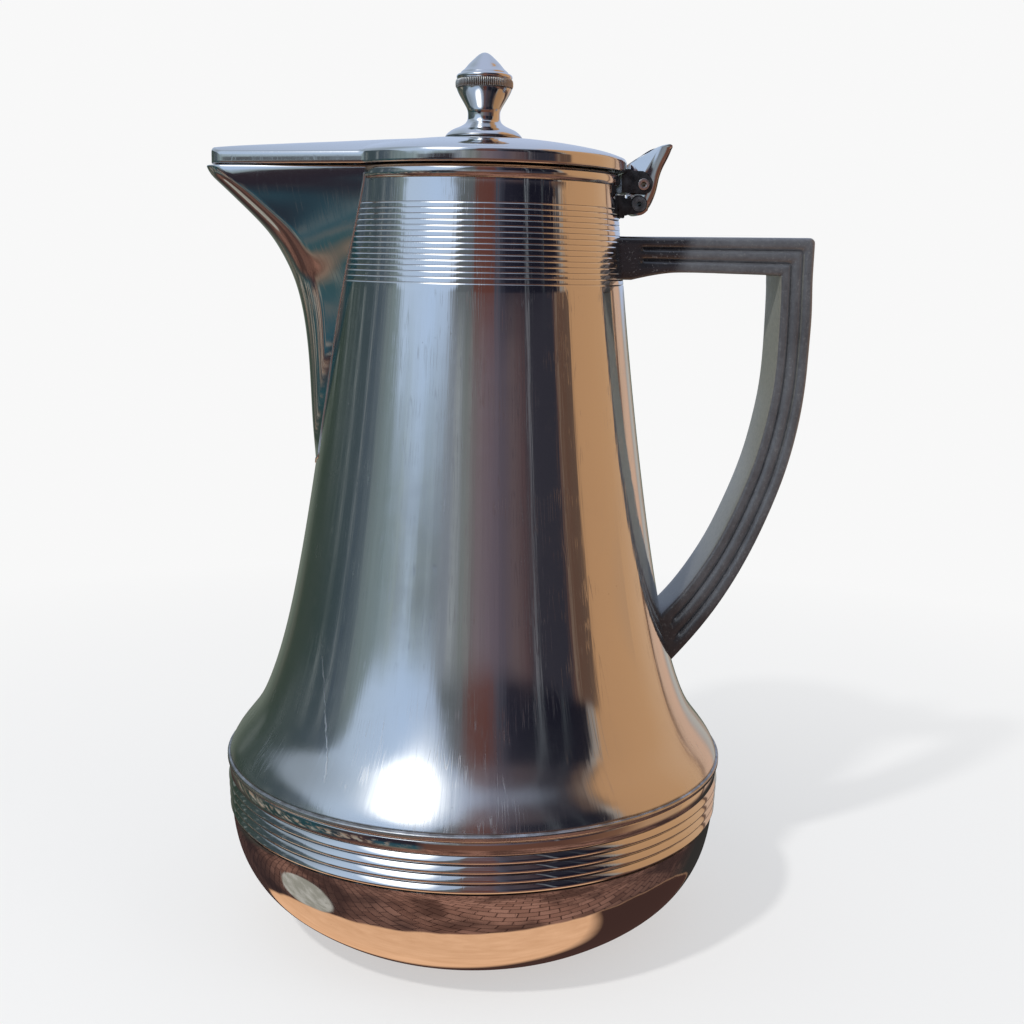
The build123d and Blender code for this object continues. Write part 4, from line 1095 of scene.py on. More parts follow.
def lid_mesh():
    line = lid_outline()
    m = len(line)
    verts, faces = [(0.0, 0.0, lid_height(0, 0))], []
    rings = []
    fr = list(np.linspace(0.06, 0.9, 40)) + list(np.linspace(0.915, 0.997, 9)) + [1.0]

    def ring(pts):
        start = len(verts)
        verts.extend(pts)
        rings.append(list(range(start, start + m)))
    er, ev = 1.05, 1.35
    inset = [(x - nx * er, y - ny * er) for x, y, nx, ny in line]
    for f in fr:
        ring([(x * f, y * f, lid_height(x * f, y * f)) for x, y in inset])
    edge_z = [lid_height(x, y) for x, y in inset]
    # turned over edge
    for a in (12, 24, 36, 48, 60, 72, 82, 90):
        ca, sa = math.cos(math.radians(a)), math.sin(math.radians(a))
        pts = []
        for (x, y, nx, ny), (ix, iy), ez in zip(line, inset, edge_z):
            pts.append((ix + nx * er * sa, iy + ny * er * sa, ez - ev * (1 - ca)))
        ring(pts)
    for zz in (225.9, 225.2, 224.72):
        ring([(x, y, zz) for x, y, nx, ny in line])
    for d, zz in ((0.05, 224.5), (0.16, 224.36), (0.34, 224.3), (0.62, 224.3), (0.8, 224.36),
                  (0.9, 224.52)):
        ring([(x - nx * d, y - ny * d, zz) for x, y, nx, ny in line])
    ring([(x - nx * 0.9, y - ny * 0.9, 226.2) for x, y, nx, ny in line])
    under = [(x - nx * 1.5, y - ny * 1.5) for x, y, nx, ny in line]
    for f in (1.0, 0.9, 0.75, 0.5, 0.25):
        ring([(x * f, y * f, lid_height(x * f, y * f) - SHEET) for x, y in under])
    verts.append((0.0, 0.0, lid_height(0, 0) - SHEET))
    last_v = len(verts) - 1
    for k in range(m):
        j = (k + 1) % m
        faces.append((0, rings[0][k], rings[0][j]))
        for a, b in zip(rings, rings[1:]):
            faces.append((a[k], b[k], b[j], a[j]))
        faces.append((rings[-1][k], last_v, rings[-1][j]))
    return verts, faces


lv, lf = lid_mesh()
place("lid_shell", lv, lf, "lid", M_LID, 38, ("lid_shell",))

# --------------------------------------------------------------------------
# Knob
# --------------------------------------------------------------------------
foot = [(2.2, 233.36), (10.85, 233.36), (11.0, 233.45), (11.02, 233.7), (10.9, 233.95)]
stem = cubic([(10.9, 234.0), (10.5, 234.5), (9.85, 235.1), (8.9, 235.7), (7.6, 236.25),
              (6.3, 236.85), (5.35, 237.5), (4.8, 238.3), (4.62, 239.5), (4.75, 241.1),
              (5.3, 242.3), (6.2, 243.8), (7.1, 245.3), (7.7, 246.5), (7.95, 247.15)], 90)
lathe("knob_stem", foot + stem[1:] + [(7.9, 247.23), (2.2, 247.23)], "lid",
      M_KNOB, 128, True, 42, ("knob_stem",))
cap = [(2.2, 249.63), (7.75, 249.63)] + arc((7.15, 250.3), 0.82, -38, 62, 10) \
    + [(7.2, 251.12), (6.98, 251.2), (6.86, 251.34)]
cap += cubic([(6.78, 251.5), (6.1, 252.15), (4.75, 253.6), (3.15, 255.2), (1.9, 256.3),
              (0.9, 256.92), (0.0, 257.1)], 44, t0=(-0.45, 1), t1=(-1, 0))
lathe("knob_cap", cap + [(0, 253.15), (2.2, 253.15)], "lid", M_KNOB, 128, True, 42,
      ("knob_cap",))
KN = 90
kv, kf = [], []
krows = [(247.26, 0.36), (247.36, 0.20), (247.62, 0.08), (248.0, 0.01), (248.8, 0.0),
         (249.2, 0.08), (249.45, 0.18), (249.6, 0.34)]
wave = (0.0, -0.03, -0.14, -0.30, -0.14, -0.03)
for zz, dr in krows:
    for k in range(KN):
        for q, w in enumerate(wave):
            t = 2 * math.pi * (k + q / 6) / KN
            rr = 8.25 - dr + w * (0.9 if dr < 0.25 else 0.3)
            kv.append((rr * math.cos(t), rr * math.sin(t), zz))
nn = KN * 6
for i in range(len(krows) - 1):
    for k in range(nn):
        j = (k + 1) % nn
        kf.append((i * nn + k, i * nn + j, (i + 1) * nn + j, (i + 1) * nn + k))
base_i = len(kv)
for zz in (247.26, 249.6):
    for k in range(nn):
        t = 2 * math.pi * k / nn
        kv.append((2.2 * math.cos(t), 2.2 * math.sin(t), zz))
for k in range(nn):
    j = (k + 1) % nn
    kf.append((k, base_i + k, base_i + j, j))
    top = (len(krows) - 1) * nn
    kf.append((top + k, top + j, base_i + nn + j, base_i + nn + k))
    kf.append((base_i + k, base_i + nn + k, base_i + nn + j, base_i + j))
place("knob_ring", kv, kf, "lid", M_RING, 28, ("knob_ring",))

# --------------------------------------------------------------------------
# Hinge: bracket on the wall, lug on the lid, thumb lever, pin and tubular rivet
# --------------------------------------------------------------------------
ARM_Y0, ARM_Y1 = 5.5, 6.4


def block_on_wall(name, z0, z1, half, depth, inner_r, seg=24):
    """A curved pad on a wall of radius inner_r(z), reaching out to x = depth."""
    verts, faces = [], []
    ys = np.linspace(-half, half, seg + 1)
    zs_ = [z0, z1]
    for zz in zs_:
        for y in ys:
            verts.append((math.sqrt(inner_r(zz) ** 2 - y * y), y, zz))
        for y in ys:
            verts.append((depth, y, zz))
    m = len(ys)
    for k in range(seg):
        faces.append((k, k + 1, 2 * m + k + 1, 2 * m + k))
        faces.append((m + k, 3 * m + k, 3 * m + k + 1, m + k + 1))
        faces.append((k, m + k, m + k + 1, k + 1))
        faces.append((2 * m + k, 2 * m + k + 1, 3 * m + k + 1, 3 * m + k))
    faces.append((0, 2 * m, 3 * m, m))
    faces.append((m - 1, 2 * m - 1, 4 * m - 1, 3 * m - 1))
    me = bpy.data.meshes.new(name)
    me.from_pydata([tuple(c * MM for c in v) for v in verts], [], faces)
    bm = bmesh.new()
    bm.from_mesh(me)
    bmesh.ops.recalc_face_normals(bm, faces=bm.faces)
    bm.to_mesh(me)
    bm.free()
    o = bpy.data.objects.new(name, me)
    bpy.context.scene.collection.objects.link(o)
    return o


arm = rounded([(39.75, 212.6), (43.2, 213.0), (PIN_X, PIN_Z - 2.4), (PIN_X, PIN_Z + 2.0),
               (43.0, 217.2), (39.75, 217.6)], [0.3, 0.3, 0, 0, 0.3, 0.3])
plate = block_on_wall("hinge_bracket", 211.95, 218.25, 8.0, 40.25, lambda zz: shell_r(zz) + 0.04)
for s in (-1, 1):
    a = prism("arm", arm, min(s * ARM_Y0, s * ARM_Y1), max(s * ARM_Y0, s * ARM_Y1))
    boolean(a, rod("k", PIN_X, PIN_Z, 2.45, min(s * ARM_Y0, s * ARM_Y1),
                   max(s * ARM_Y0, s * ARM_Y1), 56), how="UNION")
    boolean(plate, a, how="UNION")
boolean(plate, rod("c", PIN_X, PIN_Z, 1.02, -12, 12, 40))
finish_piece(plate, "body", M_BRACKET, ("hinge_bracket",), 0.16, 2)

ear = rounded([(41.2, 219.0), (43.6, 219.0), (45.0, RIVET_Z - 2.6), (47.5, RIVET_Z + 1.6),
               (46.7, RIVET_Z + 3.0), (45.6, RIVET_Z + 3.7), (43.0, RIVET_Z + 3.7), (41.9, 225.5),
               (41.2, 225.6)], [0, 0.4, 0, 0.5, 0.5, 0.6, 0.4, 0.1, 0])
lug = block_on_wall("lid_lug", 224.35, 225.65, ARM_Y1, 42.25, lambda zz: LID_R + 0.05)
low = block_on_wall("lug_low", 219.05, 224.36, ARM_Y1, 42.25, lambda zz: 40.0)
boolean(lug, low, how="UNION")
for s in (-1, 1):
    a = prism("ear", ear, min(s * ARM_Y0, s * ARM_Y1), max(s * ARM_Y0, s * ARM_Y1))
    boolean(a, rod("k", RIVET_X, RIVET_Z, 2.7, min(s * ARM_Y0, s * ARM_Y1),
                   max(s * ARM_Y0, s * ARM_Y1), 56), how="UNION")
    boolean(lug, a, how="UNION")
boolean(lug, rod("c", RIVET_X, RIVET_Z, 1.02, -12, 12, 40))
finish_piece(lug, "lid", M_LUG, ("lid_lug",), 0.18, 2)

LEVER = [(42.4, 227.3), (44.6, 228.8), (47.4, 230.6), (50.3, 232.3), (52.6, 232.8),
         (53.9, 231.9), (53.0, 229.4), (51.7, 226.6), (50.7, 223.6), (50.1, 220.4),
         (49.3, 217.6), (48.2, 215.2), (46.9, 213.6), (45.4, 212.8), (43.9, 212.95),
         (42.6, 213.9), (41.9, 215.4), (41.95, 217.0), (42.6, 218.4), (42.4, 221.0)]
back = [(52.6, 232.8), (53.55, 232.7), (53.9, 231.9)]
front = cubic([(42.4, 227.3), (44.6, 228.8), (47.4, 230.6), (50.3, 232.3), (52.4, 232.85)], 16)
rear = cubic([(53.9, 231.8), (53.0, 229.4), (51.7, 226.6), (50.7, 223.6), (50.1, 220.4),
              (49.3, 217.6), (48.2, 215.2), (46.9, 213.6), (45.4, 212.8), (43.9, 212.95),
              (42.6, 213.9), (41.9, 215.4), (41.95, 217.0), (42.6, 218.4)], 60)
LEVER_W0, LEVER_SPLAY = 4.0, 0.32


def lever_wedge(name, inset, z0=205.0, z1=240.0):
    """The lever seen from above, as a solid: two cheeks that open towards the strap."""
    w = lambda x: LEVER_W0 + LEVER_SPLAY * (x - 44) - inset
    plan = [(36, -w(36)), (60, -w(60)), (60, w(60)), (36, w(36))]
    verts = [(x, y, z0) for x, y in plan] + [(x, y, z1) for x, y in plan]
    faces = [(3, 2, 1, 0), (4, 5, 6, 7), (0, 1, 5, 4), (1, 2, 6, 5), (2, 3, 7, 6), (3, 0, 4, 7)]
    me = bpy.data.meshes.new(name)
    me.from_pydata([tuple(c * MM for c in v) for v in verts], [], faces)
    o = bpy.data.objects.new(name, me)
    bpy.context.scene.collection.objects.link(o)
    return o


lever = prism("thumb_lever", front + [(53.1, 232.85), (53.65, 232.55)] + rear + [(42.4, 221.0)],
              -10, 10)
boolean(lever, lever_wedge("wedge", 0.0), how="INTERSECT")
# round bends between the cheeks and the strap
bm = bmesh.new()
bm.from_mesh(lever.data)
rear_pts = [(x, z) for x, z in rear if z > 214.5 and x > 46.5]
bends = []
for e in bm.edges:
    ok = True
    for v in e.verts:
        x, y, z = (c / MM for c in v.co)
        near_rear = min(math.hypot(x - a, z - b) for a, b in rear_pts) < 0.02
        if not near_rear or abs(abs(y) - (LEVER_W0 + LEVER_SPLAY * (x - 44))) > 0.02:
            ok = False
    if ok and (e.verts[0].co.y > 0) == (e.verts[1].co.y > 0):
        bends.append(e)
bmesh.ops.bevel(bm, geom=bends, offset=1.8 * MM, segments=9, profile=0.5, affect="EDGES",
                offset_type="OFFSET", clamp_overlap=False)
bmesh.ops.recalc_face_normals(bm, faces=bm.faces)
bm.to_mesh(lever.data)
bm.free()
inner_cut = [(38, 240), (52.75, 240)] + cubic(
    [(52.65, 232.6), (52.1, 229.8), (50.8, 226.8), (49.8, 223.8), (49.2, 220.6), (48.4, 218.0),
     (47.4, 215.9)], 24) + [(47.0, 215.9), (47.0, 218.6), (41.0, 218.6), (38, 218.6)]
hollow_ = prism("cut", inner_cut, -10, 10)
boolean(hollow_, lever_wedge("wedge", 0.95), how="INTERSECT")
boolean(lever, hollow_)
boolean(lever, rod("c", PIN_X, PIN_Z, 1.05, -12, 12, 40), rod("c", RIVET_X, RIVET_Z, 1.02, -12, 12, 40))
finish_piece(lever, "lid", M_LEVER, ("thumb_lever",), 0.22, 3, 36)


def pin(name, x, z, body, mat, bore, head_r, head_y0, head_y1, hollow, node, bore_mat,
        dish=0.12):
    """A hollow pin along Y with two flanged heads, its bore in its own material."""
    prof = [(hollow, -head_y1)]
    e = 0.16
    prof = [(hollow, -head_y1 + 0.06), (hollow + 0.14, -head_y1), (head_r - e, -head_y1),
            (head_r - e * 0.3, -head_y1 + e * 0.3), (head_r, -head_y1 + e),
            (head_r, -head_y0), (1.0, -head_y0), (1.0, head_y0), (head_r, head_y0),
            (head_r, head_y1 - e), (head_r - e * 0.3, head_y1 - e * 0.3), (head_r - e, head_y1),
            (hollow + 0.14, head_y1), (hollow, head_y1 - 0.06)]
    verts, faces = lathe_data(prof, 56, False)
    verts = [(vx + x, vz, vy + z) for vx, vy, vz in verts]
    n0 = len(verts)
    # bore wall, as deep as the pin
    first, last_row = list(range(56)), list(range(n0 - 56, n0))
    for k in range(56):
        j = (k + 1) % 56
        faces.append((last_row[k], last_row[j], first[j], first[k]))
    o = place(name, verts, faces, body, mat, 30, (node,))
    o.data.materials.append(bore_mat)
    for p in o.data.polygons:
        c = p.center
        if math.hypot(c.x - x * MM, c.z - z * MM) < (hollow + 0.02) * MM:
            p.material_index = 1
    return o


pin("hinge_pin", PIN_X, PIN_Z, "body", M_PIN, 0, 2.15, 6.5, 7.0, 0.7,
    "hinge_pin", M_BRACKET)
pin("lever_rivet", RIVET_X, RIVET_Z, "lid", M_RIVET, 0, 1.65, 6.45, 6.95, 0.75,
    "lever_rivet", M_BORE)

# --------------------------------------------------------------------------
# CAD nodes that stay as they are, with their own finishes
# --------------------------------------------------------------------------
FINISH = {
    "base_collar": (M_BRASS, "brass"), "spout_tray": (M_TIN, "tinned_brass"),
    "pour_funnel": (M_TIN, "tinned_brass"), "neck_gasket": (M_RUBBER, "rubber"),
    "flask_outer_bulb": (M_GLASS, "silvered_glass"),
    "flask_inner_bulb": (M_GLASS, "silvered_glass"), "flask_spacers": (M_FELT, "felt"),
    "shoulder_ring": (M_FELT, "felt"), "base_cushion": (M_RUBBER, "rubber"),
    "handle_nuts": (M_BRASS, "brass"), "handle_screws": (M_STEEL, "steel"),
    "handle_saddles": (M_BRASS, "brass"), "hinge_bracket_rivets": (M_BRACKET, "brass"),
    "lid_liner": (M_TIN, "tinned_brass"), "stopper_cup": (M_TIN, "tinned_brass"),
    "stopper": (M_CORK, "cork"), "stopper_washer": (M_BRASS, "brass"),
    "stopper_nut": (M_BRASS, "brass"), "knob_stud": (M_BRASS, "brass"),
}
for node, (mat, where) in FINISH.items():
    obj = NODES[node]
    obj.data.materials.clear()
    obj.data.materials.append(mat)

# --------------------------------------------------------------------------
# Pale floor
# --------------------------------------------------------------------------
def floor_disc():
    verts, faces = [(0, 0, -0.0002)], []
    radii = [0.05, 0.12, 0.3, 0.8, 2.0, 6.0, 20.0]
    for r in radii:
        for k in range(96):
            t = 2 * math.pi * k / 96
            verts.append((r * math.cos(t), r * math.sin(t), -0.0002))
    for k in range(96):
        j = (k + 1) % 96
        faces.append((0, 1 + k, 1 + j))
        for i in range(len(radii) - 1):
            a, b = 1 + i * 96, 1 + (i + 1) * 96
            faces.append((a + k, b + k, b + j, a + j))
    me = bpy.data.meshes.new("floor")
    me.from_pydata(verts, [], faces)
    me.update()
    o = bpy.data.objects.new("floor", me)
    bpy.context.scene.collection.objects.link(o)
    return o


PALE = (0.94, 0.94, 0.94)
floor = floor_disc()
fn = Nodes("floor_pale")
fn.set(Base_Color=(0.80, 0.80, 0.80, 1), Roughness=0.9)
fn.bsdf.inputs["Specular IOR Level"].default_value = 0.1
far = fn.t.nodes.new("ShaderNodeEmission")
far.inputs[0].default_value = (*PALE, 1)
far.inputs[1].default_value = 1.0
dist = fn.t.nodes.new("ShaderNodeVectorMath")
dist.operation = "LENGTH"
fn.link(fn.co, dist.inputs[0])
mixer = fn.t.nodes.new("ShaderNodeMixShader")
fn.link(fn.grey(dist.outputs["Value"], 0.10, 0.5, 0.55, 1.0), mixer.inputs[0])
fn.link(fn.bsdf.outputs[0], mixer.inputs[1])
fn.link(far.outputs[0], mixer.inputs[2])
fn.link(mixer.outputs[0], fn.out.inputs[0])
floor.data.materials.append(fn.mat)
floor.visible_glossy = False

# --------------------------------------------------------------------------
# Surroundings: a pale studio to look at, and a toned garden, walls and paving in the
# reflections. Azimuth 0 is behind the camera, positive to its right.
# --------------------------------------------------------------------------
PSI = 6.0


def at(deg):
    """Place on a colour ramp of an azimuth in degrees."""
    return (deg + 180) / 360


def surroundings():
    world = bpy.data.worlds.new("studio")
    bpy.context.scene.world = world
    world.use_nodes = True
    t = world.node_tree
    t.nodes.clear()
    n = Nodes.__new__(Nodes)
    n.t = t
    tc = t.nodes.new("ShaderNodeTexCoord").outputs["Generated"]
    n.co = tc
    sx = t.nodes.new("ShaderNodeSeparateXYZ")
    n.link(tc, sx.inputs[0])
    x, y, z = sx.outputs
    cp, sp = math.cos(math.radians(PSI)), math.sin(math.radians(PSI))
    # to the right of the camera, and towards it
    rt = n.math("SUBTRACT", n.math("MULTIPLY", x, cp), n.math("MULTIPLY", y, sp))
    tw = n.math("SUBTRACT", n.math("MULTIPLY", y, -cp), n.math("MULTIPLY", x, sp))
    az = n.math("ARCTAN2", rt, tw)
    turn = n.math("ADD", n.math("MULTIPLY", az, 1 / (2 * math.pi)), 0.5)
    warp = n.math("SUBTRACT", n.noise(2.6, 3.0, 0.55), 0.5)
    turn = n.math("ADD", turn, n.math("MULTIPLY", warp, 0.010))
    turn = n.math("FRACT", n.math("ADD", turn, 1.0))

    walls = n.ramp(turn, [
        (at(-180), (0.14, 0.15, 0.13)), (at(-156), (0.12, 0.15, 0.12)),
        (at(-134), (0.035, 0.055, 0.042)), (at(-116), (0.055, 0.078, 0.078)),
        (at(-86), (0.065, 0.09, 0.115)), (at(-78), (0.10, 0.13, 0.155)),
        (at(-70), (0.20, 0.255, 0.265)), (at(-58), (0.24, 0.31, 0.33)),
        (at(-46), (0.42, 0.51, 0.53)), (at(-38), (0.42, 0.51, 0.53)),
        (at(-30), (0.34, 0.41, 0.44)),
        (at(-18), (0.26, 0.29, 0.34)), (at(-8), (0.22, 0.24, 0.235)),
        (at(0), (0.20, 0.165, 0.18)), (at(8), (0.17, 0.135, 0.16)),
        (at(18), (0.11, 0.09, 0.115)), (at(26), (0.13, 0.095, 0.10)),
        (at(34), (0.09, 0.055, 0.06)), (at(37.2), (0.035, 0.033, 0.045)),
        (at(38), (0.20, 0.20, 0.22)), (at(38.8), (0.035, 0.033, 0.045)),
        (at(58), (0.032, 0.031, 0.042)), (at(60.5), (0.12, 0.065, 0.05)),
        (at(62), (0.22, 0.16, 0.12)), (at(63.5), (0.12, 0.065, 0.045)),
        (at(73), (0.12, 0.075, 0.055)), (at(75), (0.52, 0.29, 0.145)),
        (at(96), (0.55, 0.31, 0.155)), (at(112), (0.57, 0.33, 0.17)),
    ])
    # the far right in finer steps: wall, a dark joint, a pinkish wall, pale ground, hedge
    far_right = n.grey(turn, at(108), at(180), 0.0, 1.0)
    u = lambda deg: (deg - 108) / 72
    edge = n.ramp(far_right, [
        (0.0, (0.57, 0.33, 0.17)), (u(126), (0.62, 0.39, 0.23)), (u(129), (0.56, 0.34, 0.20)),
        (u(130), (0.15, 0.085, 0.06)), (u(131.5), (0.18, 0.11, 0.08)),
        (u(133), (0.62, 0.42, 0.30)), (u(143), (0.66, 0.43, 0.31)),
        (u(147), (0.48, 0.36, 0.29)), (u(148.5), (0.42, 0.40, 0.38)),
        (u(156), (0.50, 0.48, 0.43)), (u(159), (0.34, 0.22, 0.17)),
        (u(161), (0.44, 0.38, 0.32)), (u(165), (0.10, 0.13, 0.09)), (1.0, (0.14, 0.15, 0.13)),
    ])
    to_right = n.grey(turn, at(108), at(109))
    walls = n.mix(to_right, walls, edge)
    # upright streaks of foliage on the spout's side
    grain = n.noise(1.0, 4.0, 0.65, n.scaled((26, 26, 1.5)))
    left = n.ramp(turn, [(at(-165), (0, 0, 0)), (at(-140), (1, 1, 1)), (at(-8), (1, 1, 1)),
                         (at(12), (0.25, 0.25, 0.25)), (at(36), (0.25, 0.25, 0.25)),
                         (at(44), (0, 0, 0))])
    dark = n.math("MULTIPLY", left, n.grey(grain, 0.46, 0.62, 0.0, 0.55))
    walls = n.mix(dark, walls, n.mix(0.6, walls, (0.03, 0.05, 0.035)))
    pale = n.math("MULTIPLY", left, n.grey(n.noise(1.0, 3.0, 0.6, n.scaled((17, 17, 1.1),
                                                                      (0, 0, 0), (3, 1, 0))),
                                           0.58, 0.66, 0.0, 0.6))
    walls = n.mix(pale, walls, n.mix(0.5, walls, (0.55, 0.60, 0.58)))

    # an upper storey: creeper, a rust red strip, dark panes with thin bars
    upper = n.ramp(turn, [
        (at(-24), (0.26, 0.29, 0.34)), (at(-18), (0.13, 0.15, 0.16)), (at(-6), (0.11, 0.12, 0.13)),
        (at(-3), (0.13, 0.055, 0.045)), (at(11), (0.12, 0.045, 0.037)),
        (at(14), (0.07, 0.075, 0.10)), (at(20), (0.018, 0.018, 0.030)),
        (at(36.6), (0.010, 0.010, 0.018)), (at(37.6), (0.30, 0.33, 0.36)),
        (at(38.6), (0.010, 0.010, 0.018)), (at(51), (0.010, 0.010, 0.018)),
        (at(52), (0.07, 0.08, 0.09)), (at(53), (0.010, 0.010, 0.018)),
        (at(65), (0.014, 0.013, 0.020)), (at(67), (0.30, 0.27, 0.25)),
        (at(70), (0.34, 0.29, 0.24)), (at(72), (0.50, 0.28, 0.14)), (at(96), (0.55, 0.31, 0.155)),
    ])
    storey = n.math("MULTIPLY", n.grey(turn, at(-24), at(-18)), n.grey(turn, at(96), at(94)))
    storey = n.math("MULTIPLY", storey, n.math("MULTIPLY", n.grey(z, 0.165, 0.195),
                                               n.grey(z, 0.60, 0.46, 0.45, 1.0)))
    walls = n.mix(storey, walls, upper)

    # sky above a skyline whose height changes with the azimuth
    sky = n.ramp(turn, [(at(-180), (0.50, 0.60, 0.80)), (at(-130), (0.40, 0.48, 0.58)),
                        (at(-95), (0.30, 0.36, 0.42)), (at(-66), (0.50, 0.62, 0.78)),
                        (at(-36), (0.50, 0.65, 0.88)), (at(-12), (0.46, 0.56, 0.72)),
                        (at(14), (0.26, 0.30, 0.38)), (at(60), (0.26, 0.31, 0.38)),
                        (at(100), (0.42, 0.46, 0.55)), (at(150), (0.48, 0.56, 0.74))])
    high = n.grey(z, 0.80, 0.98)
    sky = n.mix(high, sky, (0.50, 0.58, 0.77))
    line = n.ramp(turn, [(at(v), (h + 0.1, h + 0.1, h + 0.1)) for v, h in (
        (-180, -0.05), (-160, -0.03), (-152, 0.10), (-146, 0.24), (-112, 0.40), (-98, 0.39),
        (-84, 0.385), (-76, 0.34), (-70, 0.26), (-64, 0.15), (-58, 0.115), (-46, 0.115),
        (-34, 0.125), (-24, 0.16), (-16, 0.34), (-9, 0.56), (-2, 0.80), (20, 0.84), (34, 0.81),
        (62, 0.81), (70, 0.78), (78, 0.90), (124, 0.90), (134, 0.55), (140, 0.28), (147, 0.05), (155, -0.05))])
    line = n.math("SUBTRACT", line, 0.1)
    rough_line = n.math("MULTIPLY", n.math("SUBTRACT", n.noise(7.0, 4.0, 0.6, n.scaled((1, 1, 0.3))),
                                           0.5), 0.16)
    above = n.math("SUBTRACT", n.math("ADD", z, n.math("MULTIPLY", rough_line, left)), line)
    colour = n.mix(n.grey(above, -0.035, 0.035), walls, sky)

    # far ground, then near paving with joints, then the sunny stone the jug stands on
    ground = n.ramp(turn, [
        (at(-180), (0.17, 0.19, 0.16)), (at(-154), (0.16, 0.19, 0.155)),
        (at(-138), (0.045, 0.065, 0.05)), (at(-122), (0.045, 0.065, 0.055)),
        (at(-96), (0.03, 0.055, 0.055)),
        (at(-72), (0.02, 0.07, 0.085)), (at(-52), (0.05, 0.03, 0.035)),
        (at(-30), (0.10, 0.05, 0.04)), (at(0), (0.17, 0.075, 0.05)),
        (at(40), (0.12, 0.055, 0.04)), (at(68), (0.20, 0.10, 0.06)),
        (at(84), (0.46, 0.27, 0.15)), (at(124), (0.50, 0.31, 0.18)),
        (at(132), (0.20, 0.13, 0.10)), (at(140), (0.42, 0.35, 0.31)),
        (at(160), (0.16, 0.16, 0.16))])
    colour = n.mix(n.grey(z, 0.01, -0.05), colour, ground)
    colour = n.mix(n.math("MULTIPLY", to_right, n.grey(z, 0.02, -0.02)), colour, edge)
    # low down ahead of the spout: a dark hedge foot, then teal, then pale gravel
    low = n.math("MULTIPLY", n.grey(turn, at(-53), at(-49)), n.grey(turn, at(-18), at(-23)))
    low_c = n.ramp(n.grey(z, 0.10, -0.50, 0.0, 1.0), [
        (0.0, (0.035, 0.026, 0.032)), (0.33, (0.026, 0.022, 0.032)), (0.46, (0.022, 0.035, 0.050)),
        (0.56, (0.028, 0.085, 0.115)), (0.76, (0.040, 0.092, 0.105)), (0.82, (0.13, 0.12, 0.10)),
        (0.88, (0.33, 0.24, 0.18)), (1.0, (0.22, 0.14, 0.10))])
    edge_z = n.math("SUBTRACT", z, n.grey(turn, at(-44), at(-36), 0.0, 0.017))
    low = n.math("MULTIPLY", low, n.grey(edge_z, 0.082, 0.068))
    low = n.math("MULTIPLY", low, n.math("MAXIMUM", n.grey(turn, at(-47), at(-41)),
                                         n.grey(z, 0.02, 0.05)))
    colour = n.mix(n.math("MULTIPLY", low, n.grey(z, -0.50, -0.42)), colour, low_c)
    inv = n.math("DIVIDE", -1.0, n.math("MINIMUM", z, -0.02))
    gr, gt = n.math("MULTIPLY", rt, inv), n.math("MULTIPLY", tw, inv)
    cx = t.nodes.new("ShaderNodeCombineXYZ")
    n.link(gr, cx.inputs[0])
    n.link(gt, cx.inputs[1])
    brick = t.nodes.new("ShaderNodeTexBrick")
    brick.inputs["Scale"].default_value = 2.6
    brick.inputs["Color1"].default_value = (0.42, 0.215, 0.155, 1)
    brick.inputs["Color2"].default_value = (0.27, 0.13, 0.092, 1)
    brick.inputs["Mortar"].default_value = (0.045, 0.02, 0.016, 1)
    brick.inputs["Mortar Size"].default_value = 0.016
    n.link(n.scaled((1, 1, 1), (0, 0, 27), (0.3, 0.1, 0), cx.outputs[0]), brick.inputs["Vector"])
    shade = n.grey(n.noise(1.0, 3.0, 0.55, n.scaled((1.3, 1.3, 1.3), (0, 0, 0), (0.6, 0.2, 0),
                                                    cx.outputs[0])), 0.44, 0.56, 0.0, 0.72)
    paving = n.mix(shade, brick.outputs[0], (0.045, 0.022, 0.018))
    lefts = n.ramp(turn, [(at(-170), (0.9, 0.9, 0.9)), (at(-128), (0.85, 0.85, 0.85)),
                          (at(-100), (0.35, 0.35, 0.35)), (at(-70), (0.55, 0.55, 0.55)),
                          (at(-46), (0.45, 0.45, 0.45)), (at(-25), (0, 0, 0)),
                          (at(50), (0.1, 0.1, 0.1)), (at(100), (0.65, 0.65, 0.65)),
                          (at(150), (0.7, 0.7, 0.7))])
    paving = n.mix(lefts, paving, (0.028, 0.020, 0.022))
    streak = n.grey(n.noise(1.0, 3.0, 0.6, n.scaled((16, 16, 3.0), (0, 0, 0), (5, 2, 0))),
                    0.47, 0.60)
    side_w = n.math("MULTIPLY", n.grey(turn, at(-150), at(-120)), n.grey(turn, at(-20), at(-46)))
    kl = n.math("MULTIPLY", n.math("MULTIPLY", streak, side_w),
                n.math("MULTIPLY", n.grey(z, -0.10, -0.20), n.grey(z, -0.41, -0.35)))
    ahead = n.math("MULTIPLY", n.grey(turn, at(-53), at(-49)), n.grey(turn, at(-18), at(-23)))
    keep = n.math("MULTIPLY", n.math("MAXIMUM", side_w, ahead), n.grey(z, -0.46, -0.40))
    pave = n.math("MULTIPLY", n.grey(z, -0.26, -0.36), n.math("SUBTRACT", 1.0, keep))
    keel_tone = n.mix(n.grey(n.noise(9.0, 2.0), 0.42, 0.58), (0.42, 0.30, 0.22),
                      (0.46, 0.44, 0.38))
    colour = n.mix(pave, colour, paving)
    colour = n.mix(n.math("MULTIPLY", kl, 0.85), colour, keel_tone)
    # behind the jug on the right the ground is dark
    dusk = n.math("MULTIPLY", n.grey(turn, at(118), at(138)), n.grey(z, -0.22, -0.34))
    colour = n.mix(dusk, colour, (0.035, 0.032, 0.030))
